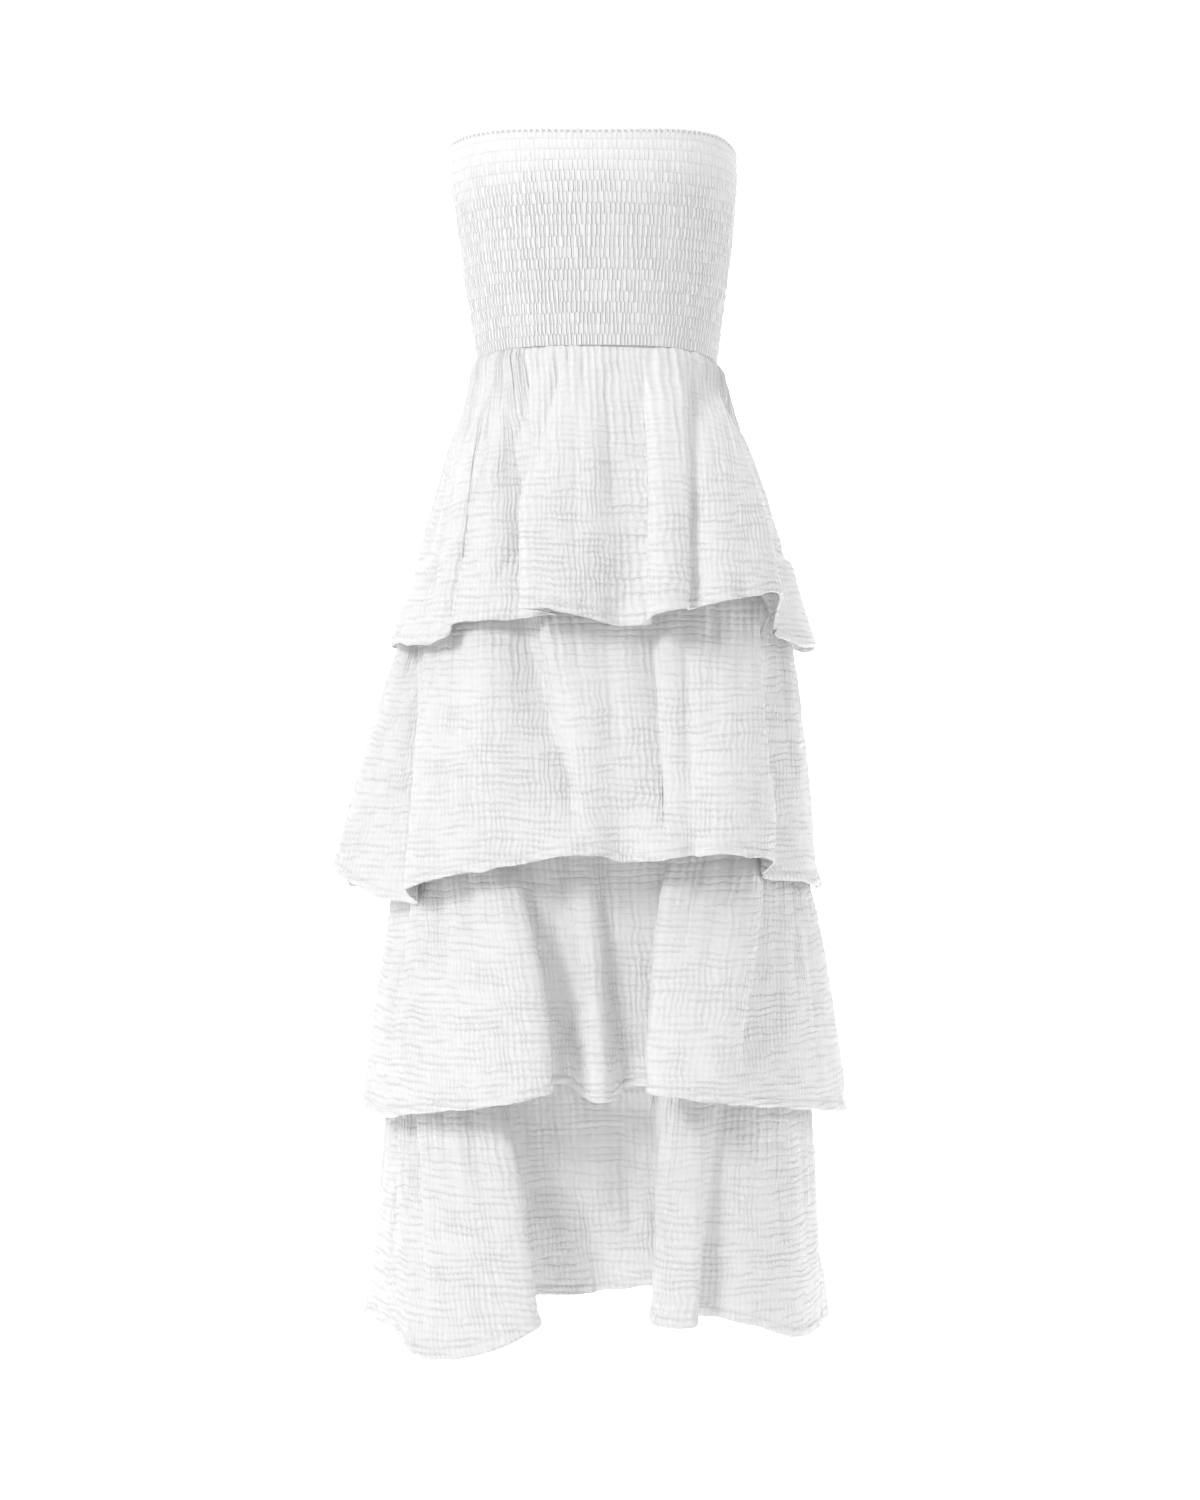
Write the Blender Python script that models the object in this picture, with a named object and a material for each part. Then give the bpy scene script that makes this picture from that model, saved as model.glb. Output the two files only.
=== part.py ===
"""Strapless maxi dress with a shirred bodice, a plain underskirt and four gathered tiers.

The dress hangs as it is worn, hollow from the top edge to the hem. Metres, +Z up, front towards -Y.
The origin is the middle of the bodice at the bust line, where the wearer holds the dress up.
Angles run round the body from the front centre: 0 is the front, 90 the +X side seam, 180 the back.
"""

import math
from collections import namedtuple

import bmesh
import bpy
from mathutils import Vector

# Cloth
CLOTH = 0.0016
UNDERSKIRT_CLOTH = 0.0014
SEAM_GAP = 0.0003
HEM_CLOTH = 0.0028
HEM_SHARE = 0.035
WHITE_GAUZE = (0.87, 0.87, 0.86)
WHITE_SHIRRED = (0.88, 0.88, 0.87)
COTTON_ROUGHNESS = 0.9

# Heights
TOP_EDGE_Z = 0.050
WAIST_Z = -0.1585
TIER_SEAM_Z = (WAIST_Z, -0.3635, -0.6085, -0.8485)
UNDERSKIRT_HEM_Z = -0.8570

# Shirring of the bodice: rows of elastic thread with puffed puckers between them
SHIRRED_ROWS = 20
PUCKERS_PER_PANEL = 14
BODICE_INSIDE_RINGS = 6
BODICE_INSIDE_DEPTH = 0.0008
THREAD_LINE_RISE = 0.0005
PUCKER_CREST_RISE = 0.0024
PUCKER_VALLEY_RISE = 0.0009

# Underskirt
UNDERSKIRT_COLUMNS = 32
UNDERSKIRT_HEIGHTS = (WAIST_Z - SEAM_GAP, -0.260, -0.364, -0.490, -0.609, -0.735, UNDERSKIRT_HEM_Z)

# Gathers of the tiers: one crest and one valley for each pair of columns
GATHER_AT_SEAM = 0.0010
GATHER_PER_PITCH = 0.28
TIER_OFF_BODY = UNDERSKIRT_CLOTH / 2 + SEAM_GAP + GATHER_AT_SEAM + CLOTH / 2
RECESS_SLACK = 0.05
COLUMNS_PER_FOLD = 3

# Room that a tier leaves for the next one, which starts under it
NEXT_TIER_ROOM = 0.0080
REST_ANCHOR = 0.45
REST_STEPS = 12

Ring = namedtuple("Ring", "down gather")
TIER_RINGS = (
    Ring(0.00, 0.25),
    Ring(0.09, 1.00),
    Ring(0.28, 0.65),
    Ring(0.60, 0.20),
    Ring(1.0 - HEM_SHARE, 0.0),
    Ring(1.00, 0.0),
)

# Ovals of the body that the cloth follows; the recess is where the skirt falls in between the legs
Section = namedtuple("Section", "height half_width front back centre recess")
BODICE = (
    Section(0.050, 0.1430, 0.106, 0.097, -0.0025, 0.0),
    Section(0.016, 0.1425, 0.114, 0.098, -0.0010, 0.0),
    Section(-0.004, 0.1405, 0.117, 0.098, -0.0005, 0.0),
    Section(-0.044, 0.1360, 0.111, 0.095, 0.0010, 0.0),
    Section(-0.084, 0.1310, 0.101, 0.091, 0.0010, 0.0),
    Section(-0.124, 0.1245, 0.094, 0.087, 0.0015, 0.0),
    Section(-0.159, 0.1195, 0.090, 0.085, 0.0020, 0.0),
)
SKIRT = (
    Section(-0.158, 0.1167, 0.0872, 0.0822, 0.0020, 0.0),
    Section(-0.260, 0.1410, 0.1010, 0.1080, 0.0050, 0.0),
    Section(-0.364, 0.1690, 0.1130, 0.1260, 0.0100, 0.0),
    Section(-0.609, 0.1845, 0.1280, 0.1400, 0.0045, 0.012),
    Section(-0.857, 0.2000, 0.1350, 0.1460, 0.0060, 0.042),
    Section(-0.880, 0.1990, 0.1340, 0.1450, 0.0060, 0.046),
    Section(-1.140, 0.1500, 0.0900, 0.1200, 0.0000, 0.030),
)
RECESS_ACROSS = -0.012
RECESS_WIDTH = 0.062

# Hem folds. A front fold names where it hangs from its seam and where it reaches at the hem.
# A back fold names its angle, how far it stands off the hem's oval, and its height.
# A bell over 1 flares out near the seam, and one under 1 near the hem.
Fold = namedtuple("Fold", "seam_deg across forward height")
BackFold = namedtuple("BackFold", "deg stand_off height")
# The flare is the slope that the tier leaves for the one under it.
Tier = namedtuple("Tier", "name seam_z bell_left bell_right flare gather back_depth front back")
TIERS = (
    Tier(
        name="tier_1",
        seam_z=TIER_SEAM_Z[0] - SEAM_GAP,
        bell_left=1.00,
        bell_right=1.25,
        flare=0.24,
        gather=0.0024,
        back_depth=0.176,
        front=(
            Fold(-90, -0.198, 0.005, -0.447),
            Fold(-76, -0.172, 0.062, -0.450),
            Fold(-65, -0.150, 0.104, -0.447),
            Fold(-59, -0.134, 0.098, -0.432),
            Fold(-51, -0.100, 0.120, -0.428),
            Fold(-42, -0.048, 0.132, -0.424),
            Fold(-36, -0.064, 0.160, -0.417),
            Fold(-18, -0.022, 0.166, -0.423),
            Fold(7, 0.031, 0.154, -0.434),
            Fold(24, 0.068, 0.172, -0.421),
            Fold(46, 0.092, 0.152, -0.419),
            Fold(58, 0.118, 0.158, -0.412),
            Fold(68, 0.142, 0.146, -0.408),
            Fold(75, 0.174, 0.114, -0.402),
            Fold(80, 0.170, 0.092, -0.440),
            Fold(85, 0.190, 0.054, -0.451),
            Fold(90, 0.206, 0.004, -0.450),
        ),
        back=(
            BackFold(105, 0.010, -0.455),
            BackFold(117, -0.012, -0.447),
            BackFold(130, 0.014, -0.453),
            BackFold(141, -0.014, -0.443),
            BackFold(156, 0.012, -0.450),
            BackFold(168, -0.010, -0.441),
            BackFold(180, 0.014, -0.449),
            BackFold(194, -0.013, -0.440),
            BackFold(206, 0.012, -0.448),
            BackFold(221, -0.012, -0.442),
            BackFold(235, 0.015, -0.452),
            BackFold(246, -0.010, -0.445),
            BackFold(257, 0.008, -0.451),
        ),
    ),
    Tier(
        name="tier_2",
        seam_z=TIER_SEAM_Z[1],
        bell_left=1.10,
        bell_right=1.60,
        flare=0.16,
        gather=0.0030,
        back_depth=0.190,
        front=(
            Fold(-90, -0.257, 0.010, -0.674),
            Fold(-83, -0.209, 0.062, -0.699),
            Fold(-76, -0.167, 0.080, -0.703),
            Fold(-71, -0.180, 0.118, -0.689),
            Fold(-56, -0.134, 0.150, -0.674),
            Fold(-33, -0.077, 0.166, -0.664),
            Fold(-23, -0.012, 0.181, -0.653),
            Fold(-2, 0.025, 0.164, -0.660),
            Fold(17, 0.067, 0.179, -0.658),
            Fold(27, 0.091, 0.168, -0.655),
            Fold(41, 0.122, 0.176, -0.653),
            Fold(58, 0.150, 0.160, -0.656),
            Fold(70, 0.170, 0.134, -0.661),
            Fold(76, 0.160, 0.098, -0.678),
            Fold(83, 0.192, 0.066, -0.682),
            Fold(90, 0.216, 0.008, -0.690),
        ),
        back=(
            BackFold(103, -0.008, -0.688),
            BackFold(116, 0.014, -0.697),
            BackFold(128, -0.014, -0.686),
            BackFold(143, 0.015, -0.694),
            BackFold(155, -0.012, -0.684),
            BackFold(167, 0.013, -0.692),
            BackFold(181, -0.015, -0.682),
            BackFold(195, 0.014, -0.691),
            BackFold(207, -0.010, -0.683),
            BackFold(219, 0.015, -0.693),
            BackFold(233, -0.014, -0.686),
            BackFold(246, 0.010, -0.692),
            BackFold(258, -0.006, -0.682),
        ),
    ),
    Tier(
        name="tier_3",
        seam_z=TIER_SEAM_Z[2],
        bell_left=1.35,
        bell_right=1.40,
        flare=0.16,
        gather=0.0030,
        back_depth=0.196,
        front=(
            Fold(-90, -0.227, 0.008, -0.903),
            Fold(-80, -0.208, 0.062, -0.913),
            Fold(-66, -0.159, 0.132, -0.903),
            Fold(-44, -0.100, 0.178, -0.893),
            Fold(-29, -0.047, 0.188, -0.881),
            Fold(-25, -0.044, 0.146, -0.874),
            Fold(-16, -0.022, 0.128, -0.878),
            Fold(-6, 0.006, 0.152, -0.891),
            Fold(2, 0.028, 0.126, -0.881),
            Fold(20, 0.066, 0.140, -0.873),
            Fold(25, 0.059, 0.177, -0.880),
            Fold(38, 0.090, 0.190, -0.884),
            Fold(58, 0.125, 0.184, -0.890),
            Fold(67, 0.160, 0.146, -0.896),
            Fold(78, 0.199, 0.104, -0.902),
            Fold(90, 0.247, 0.006, -0.912),
        ),
        back=(
            BackFold(102, -0.010, -0.906),
            BackFold(115, 0.014, -0.913),
            BackFold(129, -0.015, -0.902),
            BackFold(141, 0.014, -0.910),
            BackFold(154, -0.014, -0.899),
            BackFold(169, 0.016, -0.909),
            BackFold(181, -0.012, -0.898),
            BackFold(193, 0.014, -0.907),
            BackFold(208, -0.015, -0.897),
            BackFold(221, 0.014, -0.908),
            BackFold(234, -0.012, -0.900),
            BackFold(246, 0.014, -0.909),
            BackFold(258, -0.008, -0.901),
        ),
    ),
    Tier(
        name="tier_4",
        seam_z=TIER_SEAM_Z[3],
        bell_left=0.80,
        bell_right=1.10,
        flare=0.00,
        gather=0.0030,
        back_depth=0.204,
        front=(
            Fold(-90, -0.224, 0.006, -1.116),
            Fold(-78, -0.190, 0.098, -1.117),
            Fold(-65, -0.163, 0.168, -1.132),
            Fold(-48, -0.110, 0.192, -1.125),
            Fold(-31, -0.059, 0.190, -1.103),
            Fold(-27, -0.066, 0.108, -1.084),
            Fold(-10, -0.007, 0.082, -1.084),
            Fold(3, 0.023, 0.070, -1.079),
            Fold(13, 0.064, 0.088, -1.076),
            Fold(21, 0.060, 0.146, -1.102),
            Fold(27, 0.091, 0.170, -1.104),
            Fold(34, 0.100, 0.148, -1.097),
            Fold(48, 0.149, 0.140, -1.106),
            Fold(66, 0.194, 0.104, -1.124),
            Fold(90, 0.221, 0.010, -1.123),
        ),
        back=(
            BackFold(104, 0.014, -1.120),
            BackFold(117, -0.016, -1.108),
            BackFold(131, 0.016, -1.118),
            BackFold(144, -0.018, -1.104),
            BackFold(157, 0.016, -1.116),
            BackFold(170, -0.014, -1.103),
            BackFold(184, 0.018, -1.115),
            BackFold(198, -0.016, -1.102),
            BackFold(211, 0.015, -1.115),
            BackFold(225, -0.017, -1.105),
            BackFold(238, 0.016, -1.119),
            BackFold(250, -0.012, -1.109),
            BackFold(260, 0.006, -1.115),
        ),
    ),
)


def clear_scene():
    for obj in list(bpy.data.objects):
        bpy.data.objects.remove(obj)


def cotton(name, colour):
    """White cotton gauze, matt and without metal."""
    material = bpy.data.materials.new(name)
    material.use_nodes = True
    shader = material.node_tree.nodes["Principled BSDF"]
    shader.inputs["Base Color"].default_value = (*colour, 1.0)
    shader.inputs["Roughness"].default_value = COTTON_ROUGHNESS
    shader.inputs["Metallic"].default_value = 0.0
    return material


def section_at(sections, height):
    """The oval at a height, blended smoothly between the two nearest sections."""
    if height >= sections[0].height:
        return sections[0]
    for upper, lower in zip(sections, sections[1:]):
        if height >= lower.height:
            share = (upper.height - height) / (upper.height - lower.height)
            return Section(*(a + (b - a) * share for a, b in zip(upper, lower)))
    return sections[-1]


def oval_point(section, deg):
    """A point of the body's oval: across is X, and forward is towards -Y."""
    turn = math.radians(deg)
    across = section.centre + section.half_width * math.sin(turn)
    depth = section.front if math.cos(turn) > 0 else section.back
    forward = depth * math.cos(turn)
    if math.cos(turn) > 0:
        fall_in = math.exp(-(((across - RECESS_ACROSS) / RECESS_WIDTH) ** 2))
        forward -= section.recess * fall_in * math.cos(turn)
    return Vector((across, -forward, section.height))


def body_point(sections, deg, height, out=0.0):
    """A point on the body at an angle and height, moved outwards in plan."""
    section = section_at(sections, height)
    point = oval_point(section, deg)
    along = oval_point(section, deg + 0.5) - oval_point(section, deg - 0.5)
    outward = Vector((-along.y, along.x, 0.0)).normalized()
    point = point - outward * out
    return Vector((point.x, point.y, height))


def lies_outside(section, point):
    """Whether a point lies outside the oval, recess and all."""
    across = point.x - section.centre
    forward = -point.y
    depth = section.front if forward > 0 else section.back
    fall_in = section.recess * math.exp(-(((point.x - RECESS_ACROSS) / RECESS_WIDTH) ** 2))
    sunk = fall_in * min(max(forward / depth, 0.0), 1.0)
    return math.hypot(across / section.half_width, (forward + sunk) / depth) >= 1.0


def resting_outside(point, room):
    """The point, or where it comes to rest if it lay deeper than the body with the room over it."""
    section = section_at(SKIRT, point.z)
    section = section._replace(
        half_width=section.half_width + room,
        front=section.front + room,
        back=section.back + room,
    )
    if lies_outside(section, point):
        return point
    anchor = Vector((section.centre + (point.x - section.centre) * REST_ANCHOR, 0.0, point.z))
    inner, outer = 1.0, 3.0
    for step in range(REST_STEPS):
        middle = (inner + outer) / 2
        if lies_outside(section, anchor.lerp(point, middle)):
            outer = middle
        else:
            inner = middle
    return anchor.lerp(point, outer)


def wall_normals(grid):
    """Outward directions at each point of a closed tube of rings."""
    last = len(grid) - 1
    count = len(grid[0])
    normals = []
    for row in range(len(grid)):
        above = grid[max(row - 1, 0)]
        below = grid[min(row + 1, last)]
        ring = grid[row]
        normals.append([
            (ring[(col + 1) % count] - ring[col - 1]).cross(above[col] - below[col]).normalized()
            for col in range(count)
        ])
    return normals


def offset_grid(grid, normals, rise):
    """The grid moved along its normals, where rise(row, col) gives how far."""
    return [
        [point + normals[row][col] * rise(row, col) for col, point in enumerate(ring)]
        for row, ring in enumerate(grid)
    ]


def cut_panel(grid, first, last):
    """The columns from one side seam to the next, pulled back by half the seam gap at each end."""
    panel = []
    for ring in grid:
        count = len(ring)
        points = [ring[col % count].copy() for col in range(first, last + 1)]
        points[0] += (points[1] - points[0]).normalized() * SEAM_GAP / 2
        points[-1] += (points[-2] - points[-1]).normalized() * SEAM_GAP / 2
        panel.append(points)
    return panel


def zip_edges(bm, first, second):
    """Joins two edges of the wall with triangles, whichever number of points each has."""
    here = there = 0
    while here < len(first) - 1 or there < len(second) - 1:
        next_here = (here + 1) / (len(first) - 1)
        next_there = (there + 1) / (len(second) - 1)
        if there == len(second) - 1 or (here < len(first) - 1 and next_here <= next_there + 1e-9):
            bm.faces.new((first[here], first[here + 1], second[there]))
            here += 1
        else:
            bm.faces.new((first[here], second[there + 1], second[there]))
            there += 1


def make_wall(name, outside, inside, colour):
    """One panel of cloth: an outer and an inner skin, closed along the four edges."""
    bm = bmesh.new()
    skins = [[[bm.verts.new(p) for p in ring] for ring in skin] for skin in (outside, inside)]
    for skin, flip in zip(skins, (False, True)):
        for upper, lower in zip(skin, skin[1:]):
            for col in range(len(upper) - 1):
                for corners in (
                    (upper[col], lower[col], lower[col + 1]),
                    (upper[col], lower[col + 1], upper[col + 1]),
                ):
                    bm.faces.new(reversed(corners) if flip else corners)
    outer, inner = skins
    zip_edges(bm, outer[0], inner[0])
    zip_edges(bm, inner[-1], outer[-1])
    zip_edges(bm, [ring[0] for ring in inner], [ring[0] for ring in outer])
    zip_edges(bm, [ring[-1] for ring in outer], [ring[-1] for ring in inner])
    mesh = bpy.data.meshes.new(name)
    bm.to_mesh(mesh)
    bm.free()
    mesh.shade_smooth()
    mesh.materials.append(cotton(f"{name}_cotton", colour))
    obj = bpy.data.objects.new(name, mesh)
    bpy.context.scene.collection.objects.link(obj)
    return obj


def make_bodice():
    """Two shirred panels. Puckers rise between the rows of elastic thread over a plain inside."""
    columns = 2 * PUCKERS_PER_PANEL
    degrees = [-90.0 + 180.0 * col / columns for col in range(2 * columns)]
    step = (TOP_EDGE_Z - WAIST_Z) / (2 * SHIRRED_ROWS)
    heights = [TOP_EDGE_Z - step * ring for ring in range(2 * SHIRRED_ROWS + 1)]
    grid = [[body_point(BODICE, deg, height) for deg in degrees] for height in heights]

    def pucker(row, col):
        if row % 2 == 0 or col % columns == 0:
            return THREAD_LINE_RISE
        crest = (col + row // 2) % 2 == 0
        return PUCKER_CREST_RISE if crest else PUCKER_VALLEY_RISE

    plain_step = (TOP_EDGE_Z - WAIST_Z) / (BODICE_INSIDE_RINGS - 1)
    plain = [TOP_EDGE_Z - plain_step * ring for ring in range(BODICE_INSIDE_RINGS)]
    lining_grid = [[body_point(BODICE, deg, height) for deg in degrees] for height in plain]
    outer = offset_grid(grid, wall_normals(grid), pucker)
    inner = offset_grid(lining_grid, wall_normals(lining_grid), lambda row, col: -BODICE_INSIDE_DEPTH)
    for ring_set in (outer, inner):
        for ring, height in ((ring_set[0], TOP_EDGE_Z), (ring_set[-1], WAIST_Z)):
            for point in ring:
                point.z = height
    for side, first in (("front", 0), ("back", columns)):
        make_wall(
            f"bodice_{side}",
            cut_panel(outer, first, first + columns),
            cut_panel(inner, first, first + columns),
            WHITE_SHIRRED,
        )


def make_underskirt():
    """The plain A-line skirt that carries the tiers, hidden under them."""
    degrees = [-90.0 + 180.0 * col / UNDERSKIRT_COLUMNS for col in range(2 * UNDERSKIRT_COLUMNS)]
    grid = [[body_point(SKIRT, deg, height) for deg in degrees] for height in UNDERSKIRT_HEIGHTS]
    normals = wall_normals(grid)
    outer = offset_grid(grid, normals, lambda row, col: UNDERSKIRT_CLOTH / 2)
    inner = offset_grid(grid, normals, lambda row, col: -UNDERSKIRT_CLOTH / 2)
    for ring in (outer[0], inner[0]):
        for point in ring:
            point.z = UNDERSKIRT_HEIGHTS[0]
    for side, first in (("front", 0), ("back", UNDERSKIRT_COLUMNS)):
        make_wall(
            f"underskirt_{side}",
            cut_panel(outer, first, first + UNDERSKIRT_COLUMNS),
            cut_panel(inner, first, first + UNDERSKIRT_COLUMNS),
            WHITE_GAUZE,
        )


def hem_knots(tier):
    """The folds all round the hem as (angle at the seam, point at the hem)."""
    knots = [(fold.seam_deg, Vector((fold.across, -fold.forward, fold.height))) for fold in tier.front]
    left, right = tier.front[0].across, tier.front[-1].across
    centre, half_width = (left + right) / 2, (right - left) / 2
    for fold in tier.back:
        turn = math.radians(fold.deg)
        oval = Vector((half_width * math.sin(turn), -tier.back_depth * math.cos(turn), 0.0))
        place = oval + oval.normalized() * fold.stand_off
        knots.append((fold.deg, Vector((centre + place.x, place.y, fold.height))))
    return knots


def curve_between(before, start, end, after, share):
    """A centripetal Catmull-Rom curve from start to end, which never loops at a tight fold."""
    points = (before, start, end, after)
    times = [0.0]
    for a, b in zip(points, points[1:]):
        times.append(times[-1] + math.sqrt(max((b - a).length, 1e-6)))
    at = times[1] + (times[2] - times[1]) * share

    def mix(a, b, time_a, time_b):
        return a + (b - a) * ((at - time_a) / (time_b - time_a))

    level = [mix(points[i], points[i + 1], times[i], times[i + 1]) for i in range(3)]
    level = [mix(level[i], level[i + 1], times[i], times[i + 2]) for i in range(2)]
    return mix(level[0], level[1], times[1], times[2])


def hem_columns(tier):
    """Angle at the seam and point at the hem for each column, and the column of each side seam."""
    knots = hem_knots(tier)
    count = len(knots)
    columns = []
    for knot in range(count):
        start_deg, start = knots[knot]
        end_deg, end = knots[(knot + 1) % count]
        if end_deg < start_deg:
            end_deg += 360.0
        before, after = knots[knot - 1][1], knots[(knot + 2) % count][1]
        for part in range(COLUMNS_PER_FOLD):
            share = part / COLUMNS_PER_FOLD
            columns.append((
                start_deg + (end_deg - start_deg) * share,
                curve_between(before, start, end, after, share),
            ))
    front_last = (len(tier.front) - 1) * COLUMNS_PER_FOLD
    return columns, front_last


def seam_point(tier, deg):
    """Where a column of the tier is sewn on, just outside the underskirt."""
    section = section_at(SKIRT, tier.seam_z)
    across = body_point(SKIRT, deg, tier.seam_z).x
    fall_in = math.exp(-(((across - RECESS_ACROSS) / RECESS_WIDTH) ** 2))
    in_front = max(math.cos(math.radians(deg)), 0.0)
    slack = RECESS_SLACK * section.recess * fall_in * in_front
    return body_point(SKIRT, deg, tier.seam_z, TIER_OFF_BODY + slack)


def make_tier(tier):
    """A gathered tube of cloth that hangs from its seam and falls into the folds of its hem."""
    columns, front_last = hem_columns(tier)
    next_seam = next((z for z in TIER_SEAM_Z if z < tier.seam_z - SEAM_GAP * 2), None)
    grid = []
    for ring in TIER_RINGS:
        points = []
        for deg, hem in columns:
            seam = seam_point(tier, deg)
            to_right = (1.0 + math.sin(math.radians(deg))) / 2
            bell = tier.bell_left + (tier.bell_right - tier.bell_left) * to_right
            plan = seam.lerp(hem, 1.0 - (1.0 - ring.down) ** bell)
            height = tier.seam_z + (hem.z - tier.seam_z) * ring.down
            point = Vector((plan.x, plan.y, height))
            if ring.down > 0.0:
                room = TIER_OFF_BODY + tier.gather * ring.gather
                if next_seam is not None and height < next_seam + NEXT_TIER_ROOM:
                    room += NEXT_TIER_ROOM + (next_seam + NEXT_TIER_ROOM - height) * tier.flare
                point = resting_outside(point, room)
            points.append(point)
        grid.append(points)
    normals = wall_normals(grid)

    def gather(row, col):
        side = 1.0 if col % 2 == 0 else -1.0
        ring = grid[row]
        pitch = (ring[(col + 1) % len(ring)] - ring[col - 1]).length
        size = GATHER_AT_SEAM if row == 0 else tier.gather * TIER_RINGS[row].gather
        return side * min(size, pitch * GATHER_PER_PITCH)

    gathered = offset_grid(grid, normals, gather)
    normals = wall_normals(gathered)
    last = len(TIER_RINGS) - 1

    def half_wall(row, col):
        return (HEM_CLOTH if row == last else CLOTH) / 2

    outer = offset_grid(gathered, normals, half_wall)
    inner = offset_grid(gathered, normals, lambda row, col: -half_wall(row, col))
    for ring in (outer[0], inner[0]):
        for point in ring:
            point.z = tier.seam_z
    for side, first, end in (("front", 0, front_last), ("back", front_last, len(columns))):
        make_wall(
            f"{tier.name}_{side}",
            cut_panel(outer, first, end),
            cut_panel(inner, first, end),
            WHITE_GAUZE,
        )


def main():
    clear_scene()
    make_bodice()
    make_underskirt()
    for tier in TIERS:
        make_tier(tier)


main()
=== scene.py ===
"""The look of a strapless tiered maxi dress in white cotton double gauze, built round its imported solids.

The dress is worn and hollow: a shirred tube bodice, a plain underskirt and four gathered tiers, each
cut as a front and a back. Metres, +Z up, front towards -Y, angles from the front centre towards +X.
"""

import math
from collections import namedtuple

import bpy
import numpy as np
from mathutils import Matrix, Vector


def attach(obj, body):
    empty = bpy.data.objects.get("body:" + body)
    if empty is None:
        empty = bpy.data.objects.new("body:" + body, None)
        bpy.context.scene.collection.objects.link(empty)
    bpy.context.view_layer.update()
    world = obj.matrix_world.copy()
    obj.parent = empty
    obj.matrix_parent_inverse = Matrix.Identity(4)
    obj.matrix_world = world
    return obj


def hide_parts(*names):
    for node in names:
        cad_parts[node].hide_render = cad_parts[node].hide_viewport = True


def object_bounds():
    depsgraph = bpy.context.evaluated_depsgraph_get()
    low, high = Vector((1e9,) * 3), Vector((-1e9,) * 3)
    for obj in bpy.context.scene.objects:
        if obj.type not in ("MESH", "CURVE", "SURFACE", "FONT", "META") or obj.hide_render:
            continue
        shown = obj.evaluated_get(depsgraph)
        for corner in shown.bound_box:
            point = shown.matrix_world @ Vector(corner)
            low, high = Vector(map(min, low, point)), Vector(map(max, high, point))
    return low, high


bl_info = {
    "name": "Strapless Tiered Maxi Dress",
    "version": (1, 0, 0),
    "blender": (4, 5, 0),
    "location": "View3D > Sidebar > Dress",
    "description": "Builds a strapless maxi dress of crinkled gauze with a shirred bodice and four tiers",
    "category": "Object",
}

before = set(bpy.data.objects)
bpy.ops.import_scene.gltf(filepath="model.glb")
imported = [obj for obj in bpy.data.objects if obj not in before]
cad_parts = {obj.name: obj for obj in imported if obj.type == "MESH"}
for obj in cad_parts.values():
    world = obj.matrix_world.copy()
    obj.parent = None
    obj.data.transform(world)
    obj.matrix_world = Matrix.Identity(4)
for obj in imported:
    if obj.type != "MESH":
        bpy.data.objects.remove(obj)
CAD_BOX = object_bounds()

# Cloth
CLOTH = 0.0014
SEAM_GAP = 0.0001
UNDERSKIRT_CLOTH = 0.0014
TIER_OFF_BODY = 0.0028

# Heights
TOP_EDGE_Z = 0.050
WAIST_Z = -0.1585
TIER_SEAM_Z = (WAIST_Z, -0.3635, -0.6085, -0.8485)
UNDERSKIRT_HEM_Z = -0.8570

# Ovals of the body that the cloth follows; the recess is where the skirt falls in between the legs
Section = namedtuple("Section", "height half_width front back centre recess")
BODICE = (
    Section(0.050, 0.1430, 0.106, 0.097, -0.0025, 0.0),
    Section(0.016, 0.1425, 0.114, 0.098, -0.0010, 0.0),
    Section(-0.004, 0.1405, 0.117, 0.098, -0.0005, 0.0),
    Section(-0.044, 0.1360, 0.111, 0.095, 0.0010, 0.0),
    Section(-0.084, 0.1310, 0.101, 0.091, 0.0010, 0.0),
    Section(-0.124, 0.1245, 0.094, 0.087, 0.0015, 0.0),
    Section(-0.159, 0.1195, 0.090, 0.085, 0.0020, 0.0),
)
SKIRT = (
    Section(-0.158, 0.1167, 0.0872, 0.0822, 0.0020, 0.0),
    Section(-0.186, 0.1190, 0.0890, 0.0865, 0.0026, 0.0),
    Section(-0.225, 0.1318, 0.0965, 0.0990, 0.0040, 0.0),
    Section(-0.260, 0.1410, 0.1010, 0.1080, 0.0050, 0.0),
    Section(-0.364, 0.1690, 0.1130, 0.1260, 0.0100, 0.0),
    Section(-0.609, 0.1845, 0.1280, 0.1400, 0.0045, 0.012),
    Section(-0.857, 0.2000, 0.1350, 0.1460, 0.0060, 0.042),
    Section(-0.880, 0.1990, 0.1340, 0.1450, 0.0060, 0.046),
    Section(-1.140, 0.1500, 0.0900, 0.1200, 0.0000, 0.030),
)
RECESS_ACROSS = -0.012
RECESS_WIDTH = 0.062
RECESS_SLACK = 0.05
NEXT_TIER_ROOM = 0.0080
REST_ANCHOR = 0.45
REST_STEPS = 14

# Hem folds, front and back, as in the solids. A crease is a soft trough or ridge: its path
# in angles and shares of the way down, the widths of its left and right slopes and its depth in mm, with
# minus for a trough. A narrow slope beside a wide one gives a fold with a sharp edge.
Fold = namedtuple("Fold", "seam_deg across forward height")
BackFold = namedtuple("BackFold", "deg stand_off height")
Crease = namedtuple("Crease", "path left right depth")
Tier = namedtuple("Tier", "name seam_z bell_left bell_right flare back_depth front back creases")
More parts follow.
